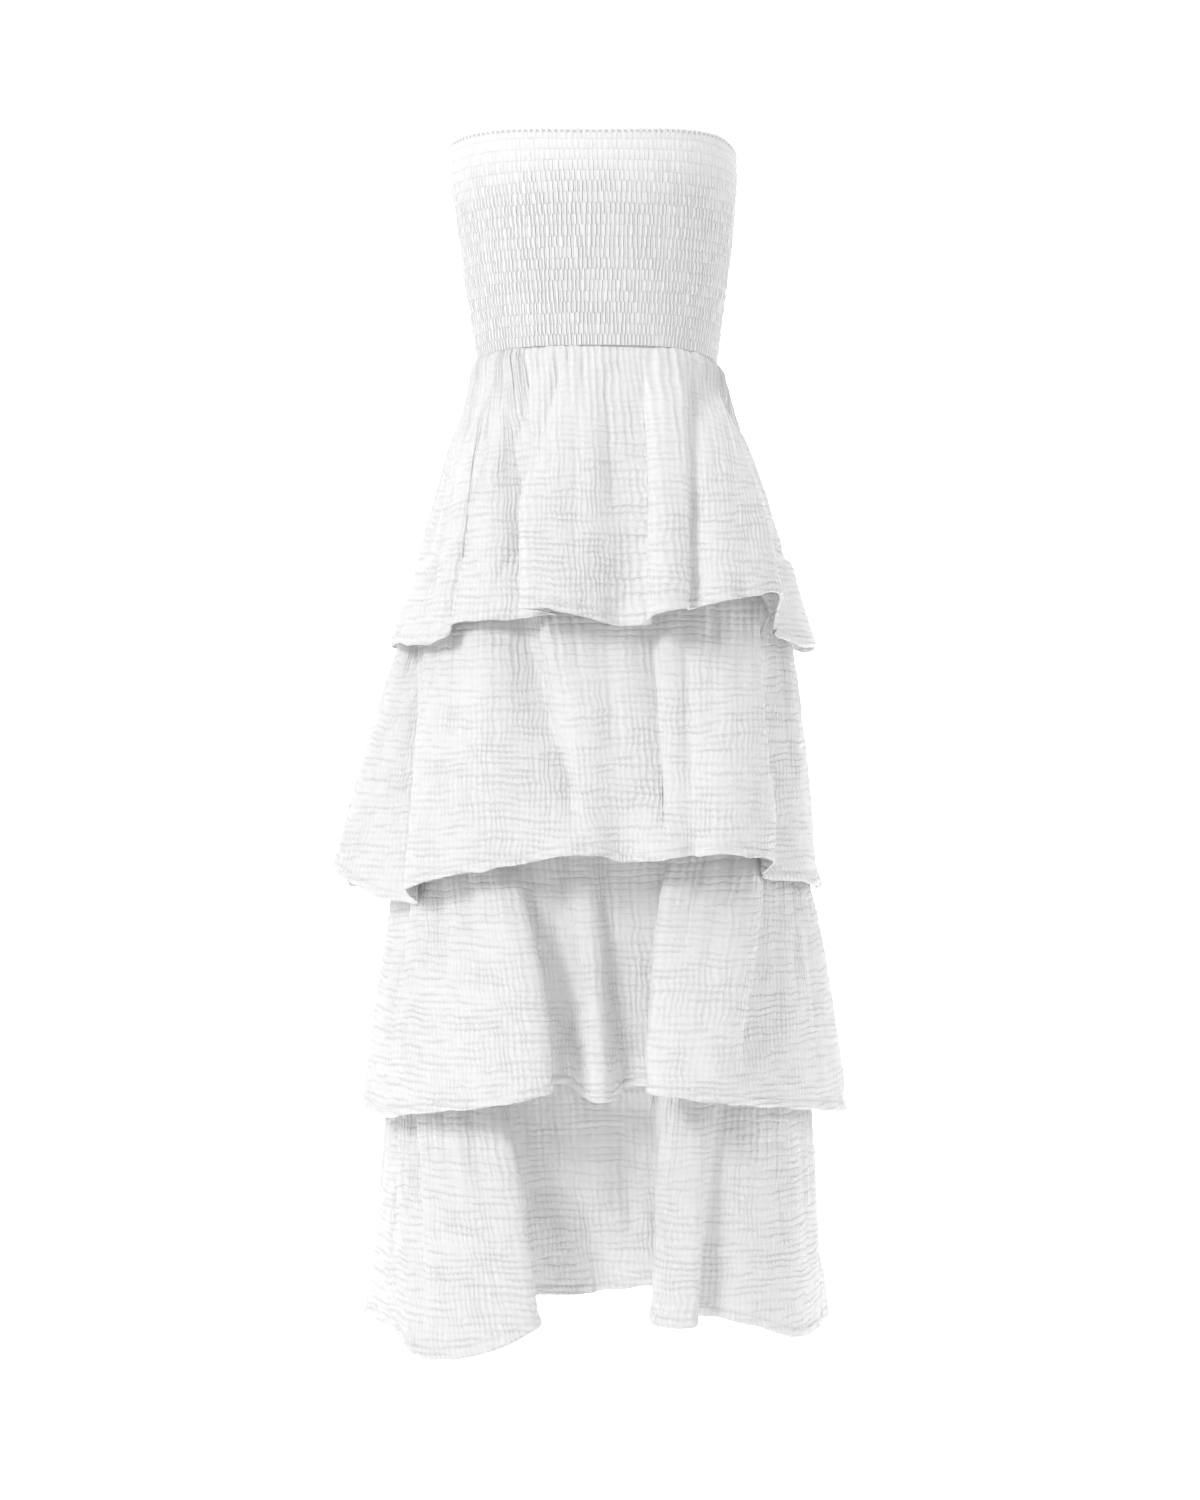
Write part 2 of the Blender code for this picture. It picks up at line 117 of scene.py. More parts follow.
# Paths of the main folds, each laid with a wide crease and a narrower one
TIER_1_RIGHT_FOLD = ((21, 0.00), (19, 0.22), (16, 0.50), (13, 0.75), (11, 1.00))
TIER_2_LEFT_FOLD = ((-28, 0.05), (-28, 0.38), (-27, 0.51), (-25, 0.68), (-24, 0.83), (-23, 0.97))
TIER_2_LEFT_LINE = ((-29, 0.05), (-29, 0.38), (-28, 0.51), (-26, 0.68), (-25, 0.83), (-24, 0.97))
TIER_2_RIGHT_FOLD = ((15, 0.05), (15, 0.25), (14, 0.63), (16, 0.80), (17, 0.97))
TIERS = (
    Tier(
        name="tier_1",
        seam_z=TIER_SEAM_Z[0] - SEAM_GAP,
        bell_left=1.00,
        bell_right=1.25,
        flare=0.24,
        back_depth=0.176,
        front=(
            Fold(-90, -0.198, 0.005, -0.447),
            Fold(-76, -0.172, 0.062, -0.450),
            Fold(-65, -0.150, 0.104, -0.447),
            Fold(-59, -0.134, 0.098, -0.432),
            Fold(-51, -0.100, 0.120, -0.428),
            Fold(-42, -0.048, 0.132, -0.424),
            Fold(-36, -0.064, 0.160, -0.417),
            Fold(-18, -0.022, 0.166, -0.423),
            Fold(7, 0.031, 0.154, -0.434),
            Fold(24, 0.068, 0.172, -0.421),
            Fold(46, 0.092, 0.152, -0.419),
            Fold(58, 0.118, 0.158, -0.412),
            Fold(68, 0.142, 0.146, -0.408),
            Fold(75, 0.174, 0.114, -0.402),
            Fold(80, 0.170, 0.092, -0.440),
            Fold(85, 0.190, 0.054, -0.451),
            Fold(90, 0.206, 0.004, -0.450),
        ),
        back=(
            BackFold(105, 0.010, -0.455),
            BackFold(117, -0.012, -0.447),
            BackFold(130, 0.014, -0.453),
            BackFold(141, -0.014, -0.443),
            BackFold(156, 0.012, -0.450),
            BackFold(168, -0.010, -0.441),
            BackFold(180, 0.014, -0.449),
            BackFold(194, -0.013, -0.440),
            BackFold(206, 0.012, -0.448),
            BackFold(221, -0.012, -0.442),
            BackFold(235, 0.015, -0.452),
            BackFold(246, -0.010, -0.445),
            BackFold(257, 0.008, -0.451),
        ),
        creases=(
            Crease(((-37, 0.00), (-36, 0.12), (-38, 0.30), (-40, 0.56)), 8, 22, -10.0),
            Crease(((-52, 0.30), (-51, 0.75), (-51, 1.00)), 40, 26, 8.0),
            Crease(((-40, 0.25), (-41, 0.50), (-42, 0.75), (-42, 1.00)), 30, 10, -19.0),
            Crease(((-34, 0.45), (-35, 0.70), (-36, 1.00)), 7, 26, 4.0),
            Crease(((-19, 0.02), (-20, 0.12), (-26, 0.30), (-31, 0.47), (-34, 0.62)), 16, 5, -7.5),
            Crease(((-62, 0.02), (-60, 0.12), (-57, 0.22), (-53, 0.60)), 12, 7, -4.5),
            Crease(((-70, 0.02), (-71, 0.30), (-70, 0.60)), 8, 6, -3.0),
            Crease(((-7, 0.00), (-8, 0.10), (-12, 0.33), (-16, 0.90)), 10, 7, -4.5),
            Crease(((6, 0.00), (6, 0.12), (4, 0.32), (3, 0.66)), 7, 16, -5.5),
            Crease(((12, 0.00), (12, 0.16), (10, 0.36)), 6, 7, -4.5),
            Crease(TIER_1_RIGHT_FOLD, 34, 8, -22.0),
            Crease(TIER_1_RIGHT_FOLD, 15, 9, -9.0),
            Crease(((42, 0.05), (40, 0.40), (39, 0.75), (38, 1.00)), 30, 7, 9.0),
            Crease(((33, 0.00), (33, 0.14), (32, 0.30)), 7, 7, -3.6),
            Crease(((47, 0.00), (47, 0.19), (47, 0.45)), 6, 20, -4.0),
            Crease(((47, 0.00), (47, 0.52), (44, 0.81), (43, 1.00)), 5, 26, -4.0),
            Crease(((59, 0.04), (60, 0.30), (61, 0.60)), 8, 9, -3.4),
            Crease(((71, 0.12), (72, 0.40), (74, 0.70), (75, 0.90)), 26, 10, 4.0),
            Crease(((77, 0.10), (78, 0.40), (79, 0.70), (80, 0.96)), 16, 40, -17.0),
            Crease(((-82, 0.04), (-82, 0.40), (-80, 0.80)), 10, 9, -4.0),
            Crease(((99, 0.02), (97, 0.47), (95, 0.94)), 6, 26, -11.7),
            Crease(((111, 0.02), (114, 0.47), (117, 0.94)), 7, 32, -10.1),
            Crease(((124, 0.02), (123, 0.27), (122, 0.54)), 9, 11, -4.0),
            Crease(((137, 0.02), (139, 0.49), (141, 0.98)), 7, 20, -11.8),
            Crease(((150, 0.02), (148, 0.47), (146, 0.95)), 32, 7, -11.8),
            Crease(((163, 0.02), (160, 0.24), (157, 0.48)), 11, 9, -5.4),
            Crease(((175, 0.02), (172, 0.49), (169, 0.98)), 7, 20, -12.1),
            Crease(((189, 0.02), (190, 0.48), (191, 0.96)), 7, 20, -11.8),
            Crease(((203, 0.02), (204, 0.30), (205, 0.61)), 11, 9, -3.9),
            Crease(((217, 0.02), (214, 0.44), (211, 0.88)), 6, 26, -11.2),
            Crease(((231, 0.02), (234, 0.49), (237, 0.98)), 20, 7, -12.3),
            Crease(((244, 0.02), (243, 0.27), (242, 0.54)), 11, 9, -4.4),
            Crease(((256, 0.02), (255, 0.48), (254, 0.96)), 6, 26, -13.9),
        ),
    ),
    Tier(
        name="tier_2",
        seam_z=TIER_SEAM_Z[1],
        bell_left=1.10,
        bell_right=1.60,
        flare=0.16,
        back_depth=0.190,
        front=(
            Fold(-90, -0.257, 0.010, -0.674),
            Fold(-83, -0.209, 0.062, -0.699),
            Fold(-76, -0.167, 0.080, -0.703),
            Fold(-71, -0.180, 0.118, -0.689),
            Fold(-56, -0.134, 0.150, -0.674),
            Fold(-33, -0.077, 0.166, -0.664),
            Fold(-23, -0.012, 0.181, -0.653),
            Fold(-2, 0.025, 0.164, -0.660),
            Fold(17, 0.067, 0.179, -0.658),
            Fold(27, 0.091, 0.168, -0.655),
            Fold(41, 0.122, 0.176, -0.653),
            Fold(58, 0.150, 0.160, -0.656),
            Fold(70, 0.170, 0.134, -0.661),
            Fold(76, 0.160, 0.098, -0.678),
            Fold(83, 0.192, 0.066, -0.682),
            Fold(90, 0.216, 0.008, -0.690),
        ),
        back=(
            BackFold(103, -0.008, -0.688),
            BackFold(116, 0.014, -0.697),
            BackFold(128, -0.014, -0.686),
            BackFold(143, 0.015, -0.694),
            BackFold(155, -0.012, -0.684),
            BackFold(167, 0.013, -0.692),
            BackFold(181, -0.015, -0.682),
            BackFold(195, 0.014, -0.691),
            BackFold(207, -0.010, -0.683),
            BackFold(219, 0.015, -0.693),
            BackFold(233, -0.014, -0.686),
            BackFold(246, 0.010, -0.692),
            BackFold(258, -0.006, -0.682),
        ),
        creases=(
            Crease(((-87, 0.05), (-81, 0.40), (-78, 0.71), (-76, 1.00)), 26, 5, -13.0),
            Crease(((-43, 0.05), (-42, 0.40), (-40, 0.65), (-36, 0.90)), 50, 36, 8.0),
            Crease(TIER_2_LEFT_FOLD, 40, 15, -20.0),
            Crease(TIER_2_LEFT_LINE, 26, 15, -10.0),
            Crease(((-54, 0.04), (-53, 0.30), (-55, 0.60)), 13, 9, -5.0),
            Crease(((-66, 0.04), (-66, 0.26), (-67, 0.50)), 9, 7, -4.0),
            Crease(((-10, 0.05), (-10, 0.28), (-11, 0.57), (-7, 0.80)), 24, 24, 3.0),
            Crease(((-3, 0.10), (-2, 0.40), (0, 0.70)), 10, 8, -4.0),
            Crease(TIER_2_RIGHT_FOLD, 60, 15, -20.0),
            Crease(TIER_2_RIGHT_FOLD, 26, 13, -10.0),
            Crease(((1, 0.05), (1, 0.45), (1, 0.95)), 30, 34, 8.0),
            Crease(((27, 0.05), (27, 0.33), (27, 0.56), (28, 0.85)), 12, 7, -7.0),
            Crease(((38, 0.05), (37, 0.35), (38, 0.70)), 12, 10, -4.5),
            Crease(((50, 0.05), (49, 0.30), (50, 0.55)), 9, 8, -4.0),
            Crease(((58, 0.12), (61, 0.45), (65, 0.75), (70, 0.95)), 24, 9, 3.5),
            Crease(((65, 0.12), (69, 0.45), (72, 0.75), (76, 0.95)), 12, 36, -17.0),
            Crease(((82, 0.05), (82, 0.40), (84, 0.80)), 9, 8, -4.0),
            Crease(((97, 0.02), (99, 0.45), (101, 0.90)), 7, 20, -13.6),
            Crease(((109, 0.02), (112, 0.47), (115, 0.95)), 32, 7, -10.1),
            Crease(((123, 0.02), (121, 0.28), (119, 0.56)), 11, 9, -5.3),
            Crease(((135, 0.02), (136, 0.49), (137, 0.98)), 7, 20, -12.4),
            Crease(((149, 0.02), (146, 0.48), (143, 0.96)), 7, 20, -11.3),
            Crease(((162, 0.02), (163, 0.24), (164, 0.48)), 11, 9, -5.1),
            Crease(((174, 0.02), (176, 0.46), (178, 0.92)), 6, 26, -10.0),
            Crease(((187, 0.02), (185, 0.48), (183, 0.97)), 26, 6, -13.9),
            Crease(((201, 0.02), (199, 0.27), (197, 0.54)), 11, 9, -4.9),
            Crease(((214, 0.02), (217, 0.45), (220, 0.89)), 20, 7, -11.3),
            Crease(((227, 0.02), (225, 0.49), (223, 0.99)), 20, 7, -10.3),
            Crease(((241, 0.02), (243, 0.28), (245, 0.55)), 9, 11, -4.7),
            Crease(((253, 0.02), (250, 0.45), (247, 0.90)), 20, 7, -12.2),
        ),
    ),
    Tier(
        name="tier_3",
        seam_z=TIER_SEAM_Z[2],
        bell_left=1.35,
        bell_right=1.40,
        flare=0.16,
        back_depth=0.196,
        front=(
            Fold(-90, -0.227, 0.008, -0.903),
            Fold(-80, -0.208, 0.062, -0.913),
            Fold(-66, -0.159, 0.132, -0.903),
            Fold(-44, -0.100, 0.178, -0.893),
            Fold(-29, -0.047, 0.188, -0.881),
            Fold(-25, -0.044, 0.146, -0.874),
            Fold(-16, -0.022, 0.128, -0.878),
            Fold(-6, 0.006, 0.152, -0.891),
            Fold(2, 0.028, 0.126, -0.881),
            Fold(20, 0.066, 0.140, -0.873),
            Fold(25, 0.059, 0.177, -0.880),
            Fold(38, 0.090, 0.190, -0.884),
            Fold(58, 0.125, 0.184, -0.890),
            Fold(67, 0.160, 0.146, -0.896),
            Fold(78, 0.199, 0.104, -0.902),
            Fold(90, 0.247, 0.006, -0.912),
        ),
        back=(
            BackFold(102, -0.010, -0.906),
            BackFold(115, 0.014, -0.913),
            BackFold(129, -0.015, -0.902),
            BackFold(141, 0.014, -0.910),
            BackFold(154, -0.014, -0.899),
            BackFold(169, 0.016, -0.909),
            BackFold(181, -0.012, -0.898),
            BackFold(193, 0.014, -0.907),
            BackFold(208, -0.015, -0.897),
            BackFold(221, 0.014, -0.908),
            BackFold(234, -0.012, -0.900),
            BackFold(246, 0.014, -0.909),
            BackFold(258, -0.008, -0.901),
        ),
        creases=(
            Crease(((-73, 0.05), (-75, 0.35), (-77, 0.68)), 22, 5, -10.0),
            Crease(((-60, 0.04), (-58, 0.30), (-56, 0.60)), 11, 9, -4.5),
            Crease(((-47, 0.04), (-46, 0.30), (-46, 0.60)), 13, 9, -4.0),
            Crease(((-38, 0.06), (-35, 0.25), (-33, 0.50), (-31, 0.90)), 26, 8, 3.5),
            Crease(((-31, 0.05), (-28, 0.25), (-26, 0.50), (-24, 0.82)), 9, 40, -11.0),
            Crease(((-10, 0.02), (-9, 0.30), (-8, 0.53), (-6, 0.75), (-5, 1.00)), 11, 13, 2.5),
            Crease(((-2, 0.04), (-1, 0.40), (0, 0.80)), 10, 22, -2.0),
            Crease(((20, 0.05), (18, 0.27), (17, 0.56), (19, 0.81), (20, 1.00)), 34, 9, -15.0),
            Crease(((25, 0.05), (23, 0.40), (23, 0.70), (25, 1.00)), 7, 20, 4.0),
            Crease(((36, 0.05), (34, 0.30), (30, 0.60)), 11, 9, -4.5),
            Crease(((47, 0.05), (44, 0.35), (40, 0.70)), 10, 9, -4.0),
            Crease(((57, 0.08), (58, 0.35), (57, 0.60), (54, 0.95)), 22, 9, 3.0),
            Crease(((63, 0.08), (65, 0.35), (64, 0.60), (61, 0.95)), 10, 36, -15.0),
            Crease(((80, 0.05), (79, 0.35), (77, 0.70)), 10, 9, -4.0),
            Crease(((96, 0.02), (94, 0.46), (92, 0.91)), 7, 20, -10.6),
            Crease(((109, 0.02), (106, 0.44), (103, 0.88)), 7, 32, -10.9),
            Crease(((121, 0.02), (122, 0.27), (123, 0.53)), 9, 11, -4.3),
            Crease(((135, 0.02), (136, 0.43), (137, 0.87)), 6, 26, -13.4),
            Crease(((148, 0.02), (150, 0.46), (152, 0.92)), 7, 20, -13.3),
            Crease(((161, 0.02), (158, 0.31), (155, 0.62)), 9, 11, -3.7),
            Crease(((175, 0.02), (176, 0.44), (177, 0.88)), 6, 26, -11.5),
            Crease(((188, 0.02), (189, 0.49), (190, 0.99)), 7, 32, -14.1),
            Crease(((201, 0.02), (199, 0.28), (197, 0.55)), 11, 9, -4.6),
            Crease(((214, 0.02), (217, 0.45), (220, 0.89)), 7, 32, -12.1),
            Crease(((228, 0.02), (229, 0.45), (230, 0.90)), 20, 7, -13.8),
            Crease(((240, 0.02), (238, 0.29), (236, 0.58)), 9, 11, -3.8),
            Crease(((253, 0.02), (256, 0.46), (259, 0.91)), 7, 32, -13.8),
        ),
    ),
    Tier(
        name="tier_4",
        seam_z=TIER_SEAM_Z[3],
        bell_left=0.80,
        bell_right=1.10,
        flare=0.00,
        back_depth=0.204,
        front=(
            Fold(-90, -0.224, 0.006, -1.116),
            Fold(-78, -0.190, 0.098, -1.117),
            Fold(-65, -0.163, 0.168, -1.132),
            Fold(-48, -0.110, 0.192, -1.125),
            Fold(-31, -0.059, 0.190, -1.103),
            Fold(-27, -0.066, 0.108, -1.084),
            Fold(-10, -0.007, 0.082, -1.084),
            Fold(3, 0.023, 0.070, -1.079),
            Fold(13, 0.064, 0.088, -1.076),
            Fold(21, 0.060, 0.146, -1.102),
            Fold(27, 0.091, 0.170, -1.104),
            Fold(34, 0.100, 0.148, -1.097),
            Fold(48, 0.149, 0.140, -1.106),
            Fold(66, 0.194, 0.104, -1.124),
            Fold(90, 0.221, 0.010, -1.123),
        ),
        back=(
            BackFold(104, 0.014, -1.120),
            BackFold(117, -0.016, -1.108),
            BackFold(131, 0.016, -1.118),
            BackFold(144, -0.018, -1.104),
            BackFold(157, 0.016, -1.116),
            BackFold(170, -0.014, -1.103),
            BackFold(184, 0.018, -1.115),
            BackFold(198, -0.016, -1.102),
            BackFold(211, 0.015, -1.115),
            BackFold(225, -0.017, -1.105),
            BackFold(238, 0.016, -1.119),
            BackFold(250, -0.012, -1.109),
            BackFold(260, 0.006, -1.115),
        ),
        creases=(
            Crease(((-68, 0.05), (-66, 0.30), (-64, 0.50), (-64, 0.98)), 24, 6, -10.0),
            Crease(((-79, 0.05), (-79, 0.40), (-80, 0.80)), 10, 8, -4.0),
            Crease(((-53, 0.05), (-50, 0.30), (-49, 0.60)), 11, 9, -4.5),
            Crease(((-42, 0.05), (-41, 0.30), (-40, 0.60)), 12, 8, -4.0),
            Crease(((-33, 0.05), (-31, 0.30), (-29, 0.75)), 20, 8, 3.5),
            Crease(((-26, 0.05), (-23, 0.35), (-21, 0.75)), 8, 40, -14.0),
            Crease(((-7, 0.05), (-5, 0.25), (-2, 0.53), (-1, 0.75)), 22, 10, 8.0),
            Crease(((3, 0.05), (4, 0.40), (6, 0.85)), 9, 24, -11.0),
            Crease(((12, 0.05), (12, 0.50), (13, 0.95)), 34, 14, -13.0),
            Crease(((27, 0.05), (25, 0.30), (24, 0.55)), 9, 8, -4.0),
            Crease(((38, 0.05), (37, 0.24), (36, 0.50), (35, 0.75), (34, 1.00)), 9, 30, -12.0),
            Crease(((56, 0.05), (58, 0.40), (62, 0.80)), 13, 11, -4.5),
            Crease(((72, 0.05), (74, 0.40), (77, 0.85)), 12, 11, -4.5),
            Crease(((98, 0.02), (97, 0.45), (96, 0.90)), 7, 32, -13.6),
            Crease(((111, 0.02), (114, 0.45), (117, 0.89)), 6, 26, -13.9),
            Crease(((124, 0.02), (122, 0.23), (120, 0.47)), 11, 9, -4.6),
            Crease(((137, 0.02), (136, 0.43), (135, 0.86)), 6, 26, -13.8),
            Crease(((151, 0.02), (148, 0.50), (145, 1.00)), 6, 26, -10.4),
            Crease(((164, 0.02), (163, 0.29), (162, 0.59)), 9, 11, -5.0),
            Crease(((177, 0.02), (176, 0.46), (175, 0.91)), 6, 26, -12.2),
            Crease(((191, 0.02), (193, 0.50), (195, 1.00)), 32, 7, -11.6),
            Crease(((205, 0.02), (204, 0.28), (203, 0.56)), 9, 11, -4.3),
            Crease(((218, 0.02), (221, 0.50), (224, 1.00)), 7, 32, -12.0),
            Crease(((231, 0.02), (229, 0.46), (227, 0.92)), 32, 7, -12.0),
            Crease(((245, 0.02), (243, 0.24), (241, 0.48)), 11, 9, -4.3),
            Crease(((256, 0.02), (255, 0.47), (254, 0.94)), 7, 20, -14.0),
        ),
    ),
)

# Cloth of the tiers: the pitch of its creases and ribs, and how the ribs spread and sway by the gathers
LINE_PITCH = 0.0066
RIB_PITCH = 0.0054
NEAR_RIB_SPREAD = 1.45
NEAR_RIB_SWAY = 0.45
FAR_RIB_SWAY = 1.3
# Threads of a weave lie about 0.5 mm apart, and are drawn at 1.2 mm so that they show
DRAWN_THREADS = 0.0012
# Plain cotton of the underskirt, which has only faint and wide creases
LAWN_LINE_PITCH = 0.0400
LAWN_RIB_PITCH = 0.0300
LAWN_RELIEF = 0.0003

# Shirred bodice: its skins off the middle of the solid, its turned top edge, and its pleats
BODICE_SKIN_OUT = 0.0002
BODICE_SKIN_IN = 0.0008
RIM_START = 0.0030
RIM_END = 0.0052
RIM_RISE = 0.0006
RIM_STITCHES_DOWN = 0.0032
RIM_STITCH_PITCH = 0.0058
RIM_WAVE = 0.0061
RIM_WAVE_HEIGHT = 0.0007
RIM_STITCH_LIFT = 0.0002
ELASTIC_LIFT = 0.0001
PLEAT_HALF_TURNS = 1.33
PUFFS_CALM_ABOVE_WAIST = 0.030
TOP_EDGE_LIFT = 0.0035
UNDER_ARM_DIP = 0.0075
UNDER_ARM_DEGREES = 84.0
UNDER_ARM_SPREAD = 16.0
TOP_EDGE_BEND = 0.05
WAIST_BEND = 0.07
SIDE_SEAM_REACH = 0.006

# Underskirt
LAWN_SKIN_SHIFT = 0.0005
LAWN_WAVES = 14
LAWN_WAVE_HEIGHT = 0.0005

# Tiers: rise of the gathers and folds, and the make of the hems and side seams
TIGHT_GATHERS = 0.0034
WIDE_GATHERS = 0.0036
LONG_FOLDS = 0.0022
OUTWARD_EASE = 0.0040
# At the waist the flare of the sides starts late by this share of the way down
LATE_FLARE = 0.085
# Slack under the tiers where they rest, and past the underskirt's hem, where nothing lies under them
REST_SLACK = 0.0009
FREE_HEM_SLACK = 0.016
FREE_BELOW_UNDERSKIRT = 0.015
# The turned hem: a thicker band with a sunk line of stitching and a rounded edge, and its small waves
HEM_THICKER = 0.0008
HEM_GROOVE = 0.0011
HEM_EDGE_ROUND = 0.0009
HEM_LINE_WIDTH = 0.0011
HEM_SOFTNESS = 0.0008
HEM_WAVES = 0.0016
HEM_TUGS = 0.0007
# Side seams sink by a hair, with puckers on both sides
SEAM_LINE_WIDTH = 0.0022
SEAM_SINK = 0.0003
SEAM_PUCKER_PITCH = 0.0082
SEAM_PUCKER_OFF = 0.005
SEAM_PUCKER_WIDTH = 0.004
SEAM_PUCKER_RISE = 0.0008
STITCH_LIFT = 0.0003
INNER_SLACK = 0.0002
# The fine rows of a tier's mesh reach this many hem depths up
HEM_SPAN = 1.35

# Studio: a softbox's place, what it looks at, its width and height, its watts and its spread in degrees
Softbox = namedtuple("Softbox", "name place target size power spread")
SOFTBOXES = (
    Softbox("key", (-2.6, -2.75, 1.4), (0.0, 0.0, -0.5), (1.1, 1.3), 71.0, 180),
    Softbox("fill", (3.1, -0.7, 0.1), (0.0, 0.0, -0.6), (1.8, 1.8), 18.0, 180),
    Softbox("above", (0.0, -0.9, 2.6), (0.0, 0.0, -0.6), (2.0, 2.0), 18.0, 180),
    Softbox("floor", (0.0, 1.6, 1.2), (0.0, 1.3, -1.35), (3.0, 1.2), 40.0, 110),
    Softbox("backdrop_left", (-2.4, 1.2, 0.2), (0.0, 2.8, -0.6), (1.2, 2.2), 40.0, 100),
    Softbox("backdrop_right", (2.4, 1.2, 0.2), (0.0, 2.8, -0.6), (1.2, 2.2), 40.0, 100),
)
WORLD_STRENGTH = 0.48
SWEEP_HALF_WIDTH = 7.0
SWEEP_FRONT_Y = -7.0
SWEEP_BEND_Y = 1.6
SWEEP_BEND_RADIUS = 1.2
SWEEP_BEND_PARTS = 16
SWEEP_HEIGHT = 5.0
CAMERA_X = 0.005

FULL_TURN = 6.2832
HALF_TURN = 3.1416

# Fineness of the cloth's meshes, for a front or a back
TIER_COLUMNS = 270
TIER_ROWS = 104
HEM_ROWS = 12
INSIDE_EVERY = 4
BODICE_COLUMNS = 280
ROWS_PER_SHIRRING = 8
SHIRRED_ROWS = 20
UNDERSKIRT_COLUMNS = 100
UNDERSKIRT_ROWS = 56


def linear(colour):
    """An sRGB hex colour as linear RGBA."""
    values = [int(colour[i:i + 2], 16) / 255 for i in (1, 3, 5)]
    return (*(v / 12.92 if v <= 0.04045 else ((v + 0.055) / 1.055) ** 2.4 for v in values), 1.0)


def add_node(tree, kind, settings=None, **inputs):
    """Adds a node, sets its properties, and sets or links its inputs by name with _ for a space."""
    node = tree.nodes.new(kind)
    for name, value in (settings or {}).items():
        setattr(node, name, value)
    for name, value in inputs.items():
        key = int(name[1:]) if name[0] == "i" and name[1:].isdigit() else name.replace("_", " ")
        socket = node.inputs[key]
        if isinstance(value, bpy.types.NodeSocket):
            tree.links.new(value, socket)
        else:
            socket.default_value = value
    return node


def value_noise(across, down, seed):
    """Smooth random bumps from -1 to 1, one for each whole step of the two coordinates."""
    table = np.random.default_rng(seed).uniform(-1.0, 1.0, (256, 256))
    col, row = np.floor(across).astype(int), np.floor(down).astype(int)
    x, y = across - col, down - row
    x, y = x * x * (3 - 2 * x), y * y * (3 - 2 * y)

    def corner(i, j):
        return table[(row + j) % 256, (col + i) % 256]

    upper = corner(0, 0) * (1 - x) + corner(1, 0) * x
    lower = corner(0, 1) * (1 - x) + corner(1, 1) * x
    return upper * (1 - y) + lower * y


def creased(noise, width):
    """Puffed cloth with a thin crease wherever the noise crosses zero: 0 in a crease and 1 on a puff."""
    return 1.0 - np.exp(-((noise / width) ** 2))


def smooth_step(low, high, value):
    """0 below low and 1 above high, with a soft change between."""
    share = np.clip((value - low) / (high - low), 0.0, 1.0)
    return share * share * (3 - 2 * share)


def sections_at(table, heights):
    """The oval's sizes at each height, as a Section of arrays."""
    ascending = np.array(table)[::-1]
    rows = [np.interp(heights, ascending[:, 0], ascending[:, i]) for i in range(1, 6)]
    return Section(heights, *rows)


def oval_points(section, degrees):
    """Points of the ovals in plan: across is X, and forward is towards -Y."""
    turn = np.radians(degrees)
    across = section.centre + section.half_width * np.sin(turn)
    cosine = np.cos(turn)
    fall_in = np.exp(-(((across - RECESS_ACROSS) / RECESS_WIDTH) ** 2))
    front = (section.front - section.recess * fall_in) * cosine
    forward = np.where(cosine > 0, front, section.back * cosine)
    return np.stack([across, -forward], axis=-1)


def body_points(table, degrees, heights, out=0.0):
    """Points on the body at angles and heights, moved outwards in plan."""
    degrees, heights = np.broadcast_arrays(np.asarray(degrees, float), np.asarray(heights, float))
    section = sections_at(table, heights)
    plan = oval_points(section, degrees)
    along = oval_points(section, degrees + 0.5) - oval_points(section, degrees - 0.5)
    outward = np.stack([along[..., 1], -along[..., 0]], axis=-1)
    outward /= np.linalg.norm(outward, axis=-1, keepdims=True)
    plan = plan + outward * np.asarray(out)[..., None]
    return np.concatenate([plan, heights[..., None]], axis=-1)


def lies_outside(section, plan):
    """Whether points in plan lie outside the ovals, recess and all."""
    across = plan[..., 0] - section.centre
    forward = -plan[..., 1]
    depth = np.where(forward > 0, section.front, section.back)
    fall_in = section.recess * np.exp(-(((plan[..., 0] - RECESS_ACROSS) / RECESS_WIDTH) ** 2))
    sunk = fall_in * np.clip(forward / depth, 0.0, 1.0)
    return np.hypot(across / section.half_width, (forward + sunk) / depth) >= 1.0


def resting_outside(points, room):
    """The points, moved out where they would lie deeper than the body with the room over it."""
    section = sections_at(SKIRT, points[..., 2])
    section = section._replace(
        half_width=section.half_width + room,
        front=section.front + room,
        back=section.back + room,
    )
    plan = points[..., :2]
    inside = ~lies_outside(section, plan)
    anchor = np.zeros_like(plan)
    anchor[..., 0] = section.centre + (plan[..., 0] - section.centre) * REST_ANCHOR
    near, far = np.ones(plan.shape[:-1]), np.full(plan.shape[:-1], 3.0)
    for _ in range(REST_STEPS):
        middle = (near + far) / 2
        out = lies_outside(section, anchor + (plan - anchor) * middle[..., None])
        far = np.where(out, middle, far)
        near = np.where(out, near, middle)
    moved = points.copy()
    moved[..., :2] = np.where(inside[..., None], anchor + (plan - anchor) * far[..., None], plan)
    return moved


def waist_dip(degrees):
    """How much lower the waist seam lies near the side seams."""
    sine = np.sin(np.radians(degrees))
    return (0.0085 + 0.0025 * sine) * sine ** 6


def tube_normals(grid):
    """Outward directions at each point of a tube of rings that close on themselves."""
    around = np.roll(grid, -1, axis=1) - np.roll(grid, 1, axis=1)
    above = np.concatenate([grid[:1], grid[:-1]])
    below = np.concatenate([grid[1:], grid[-1:]])
    normals = np.cross(around, above - below)
    return normals / np.maximum(np.linalg.norm(normals, axis=-1, keepdims=True), 1e-12)


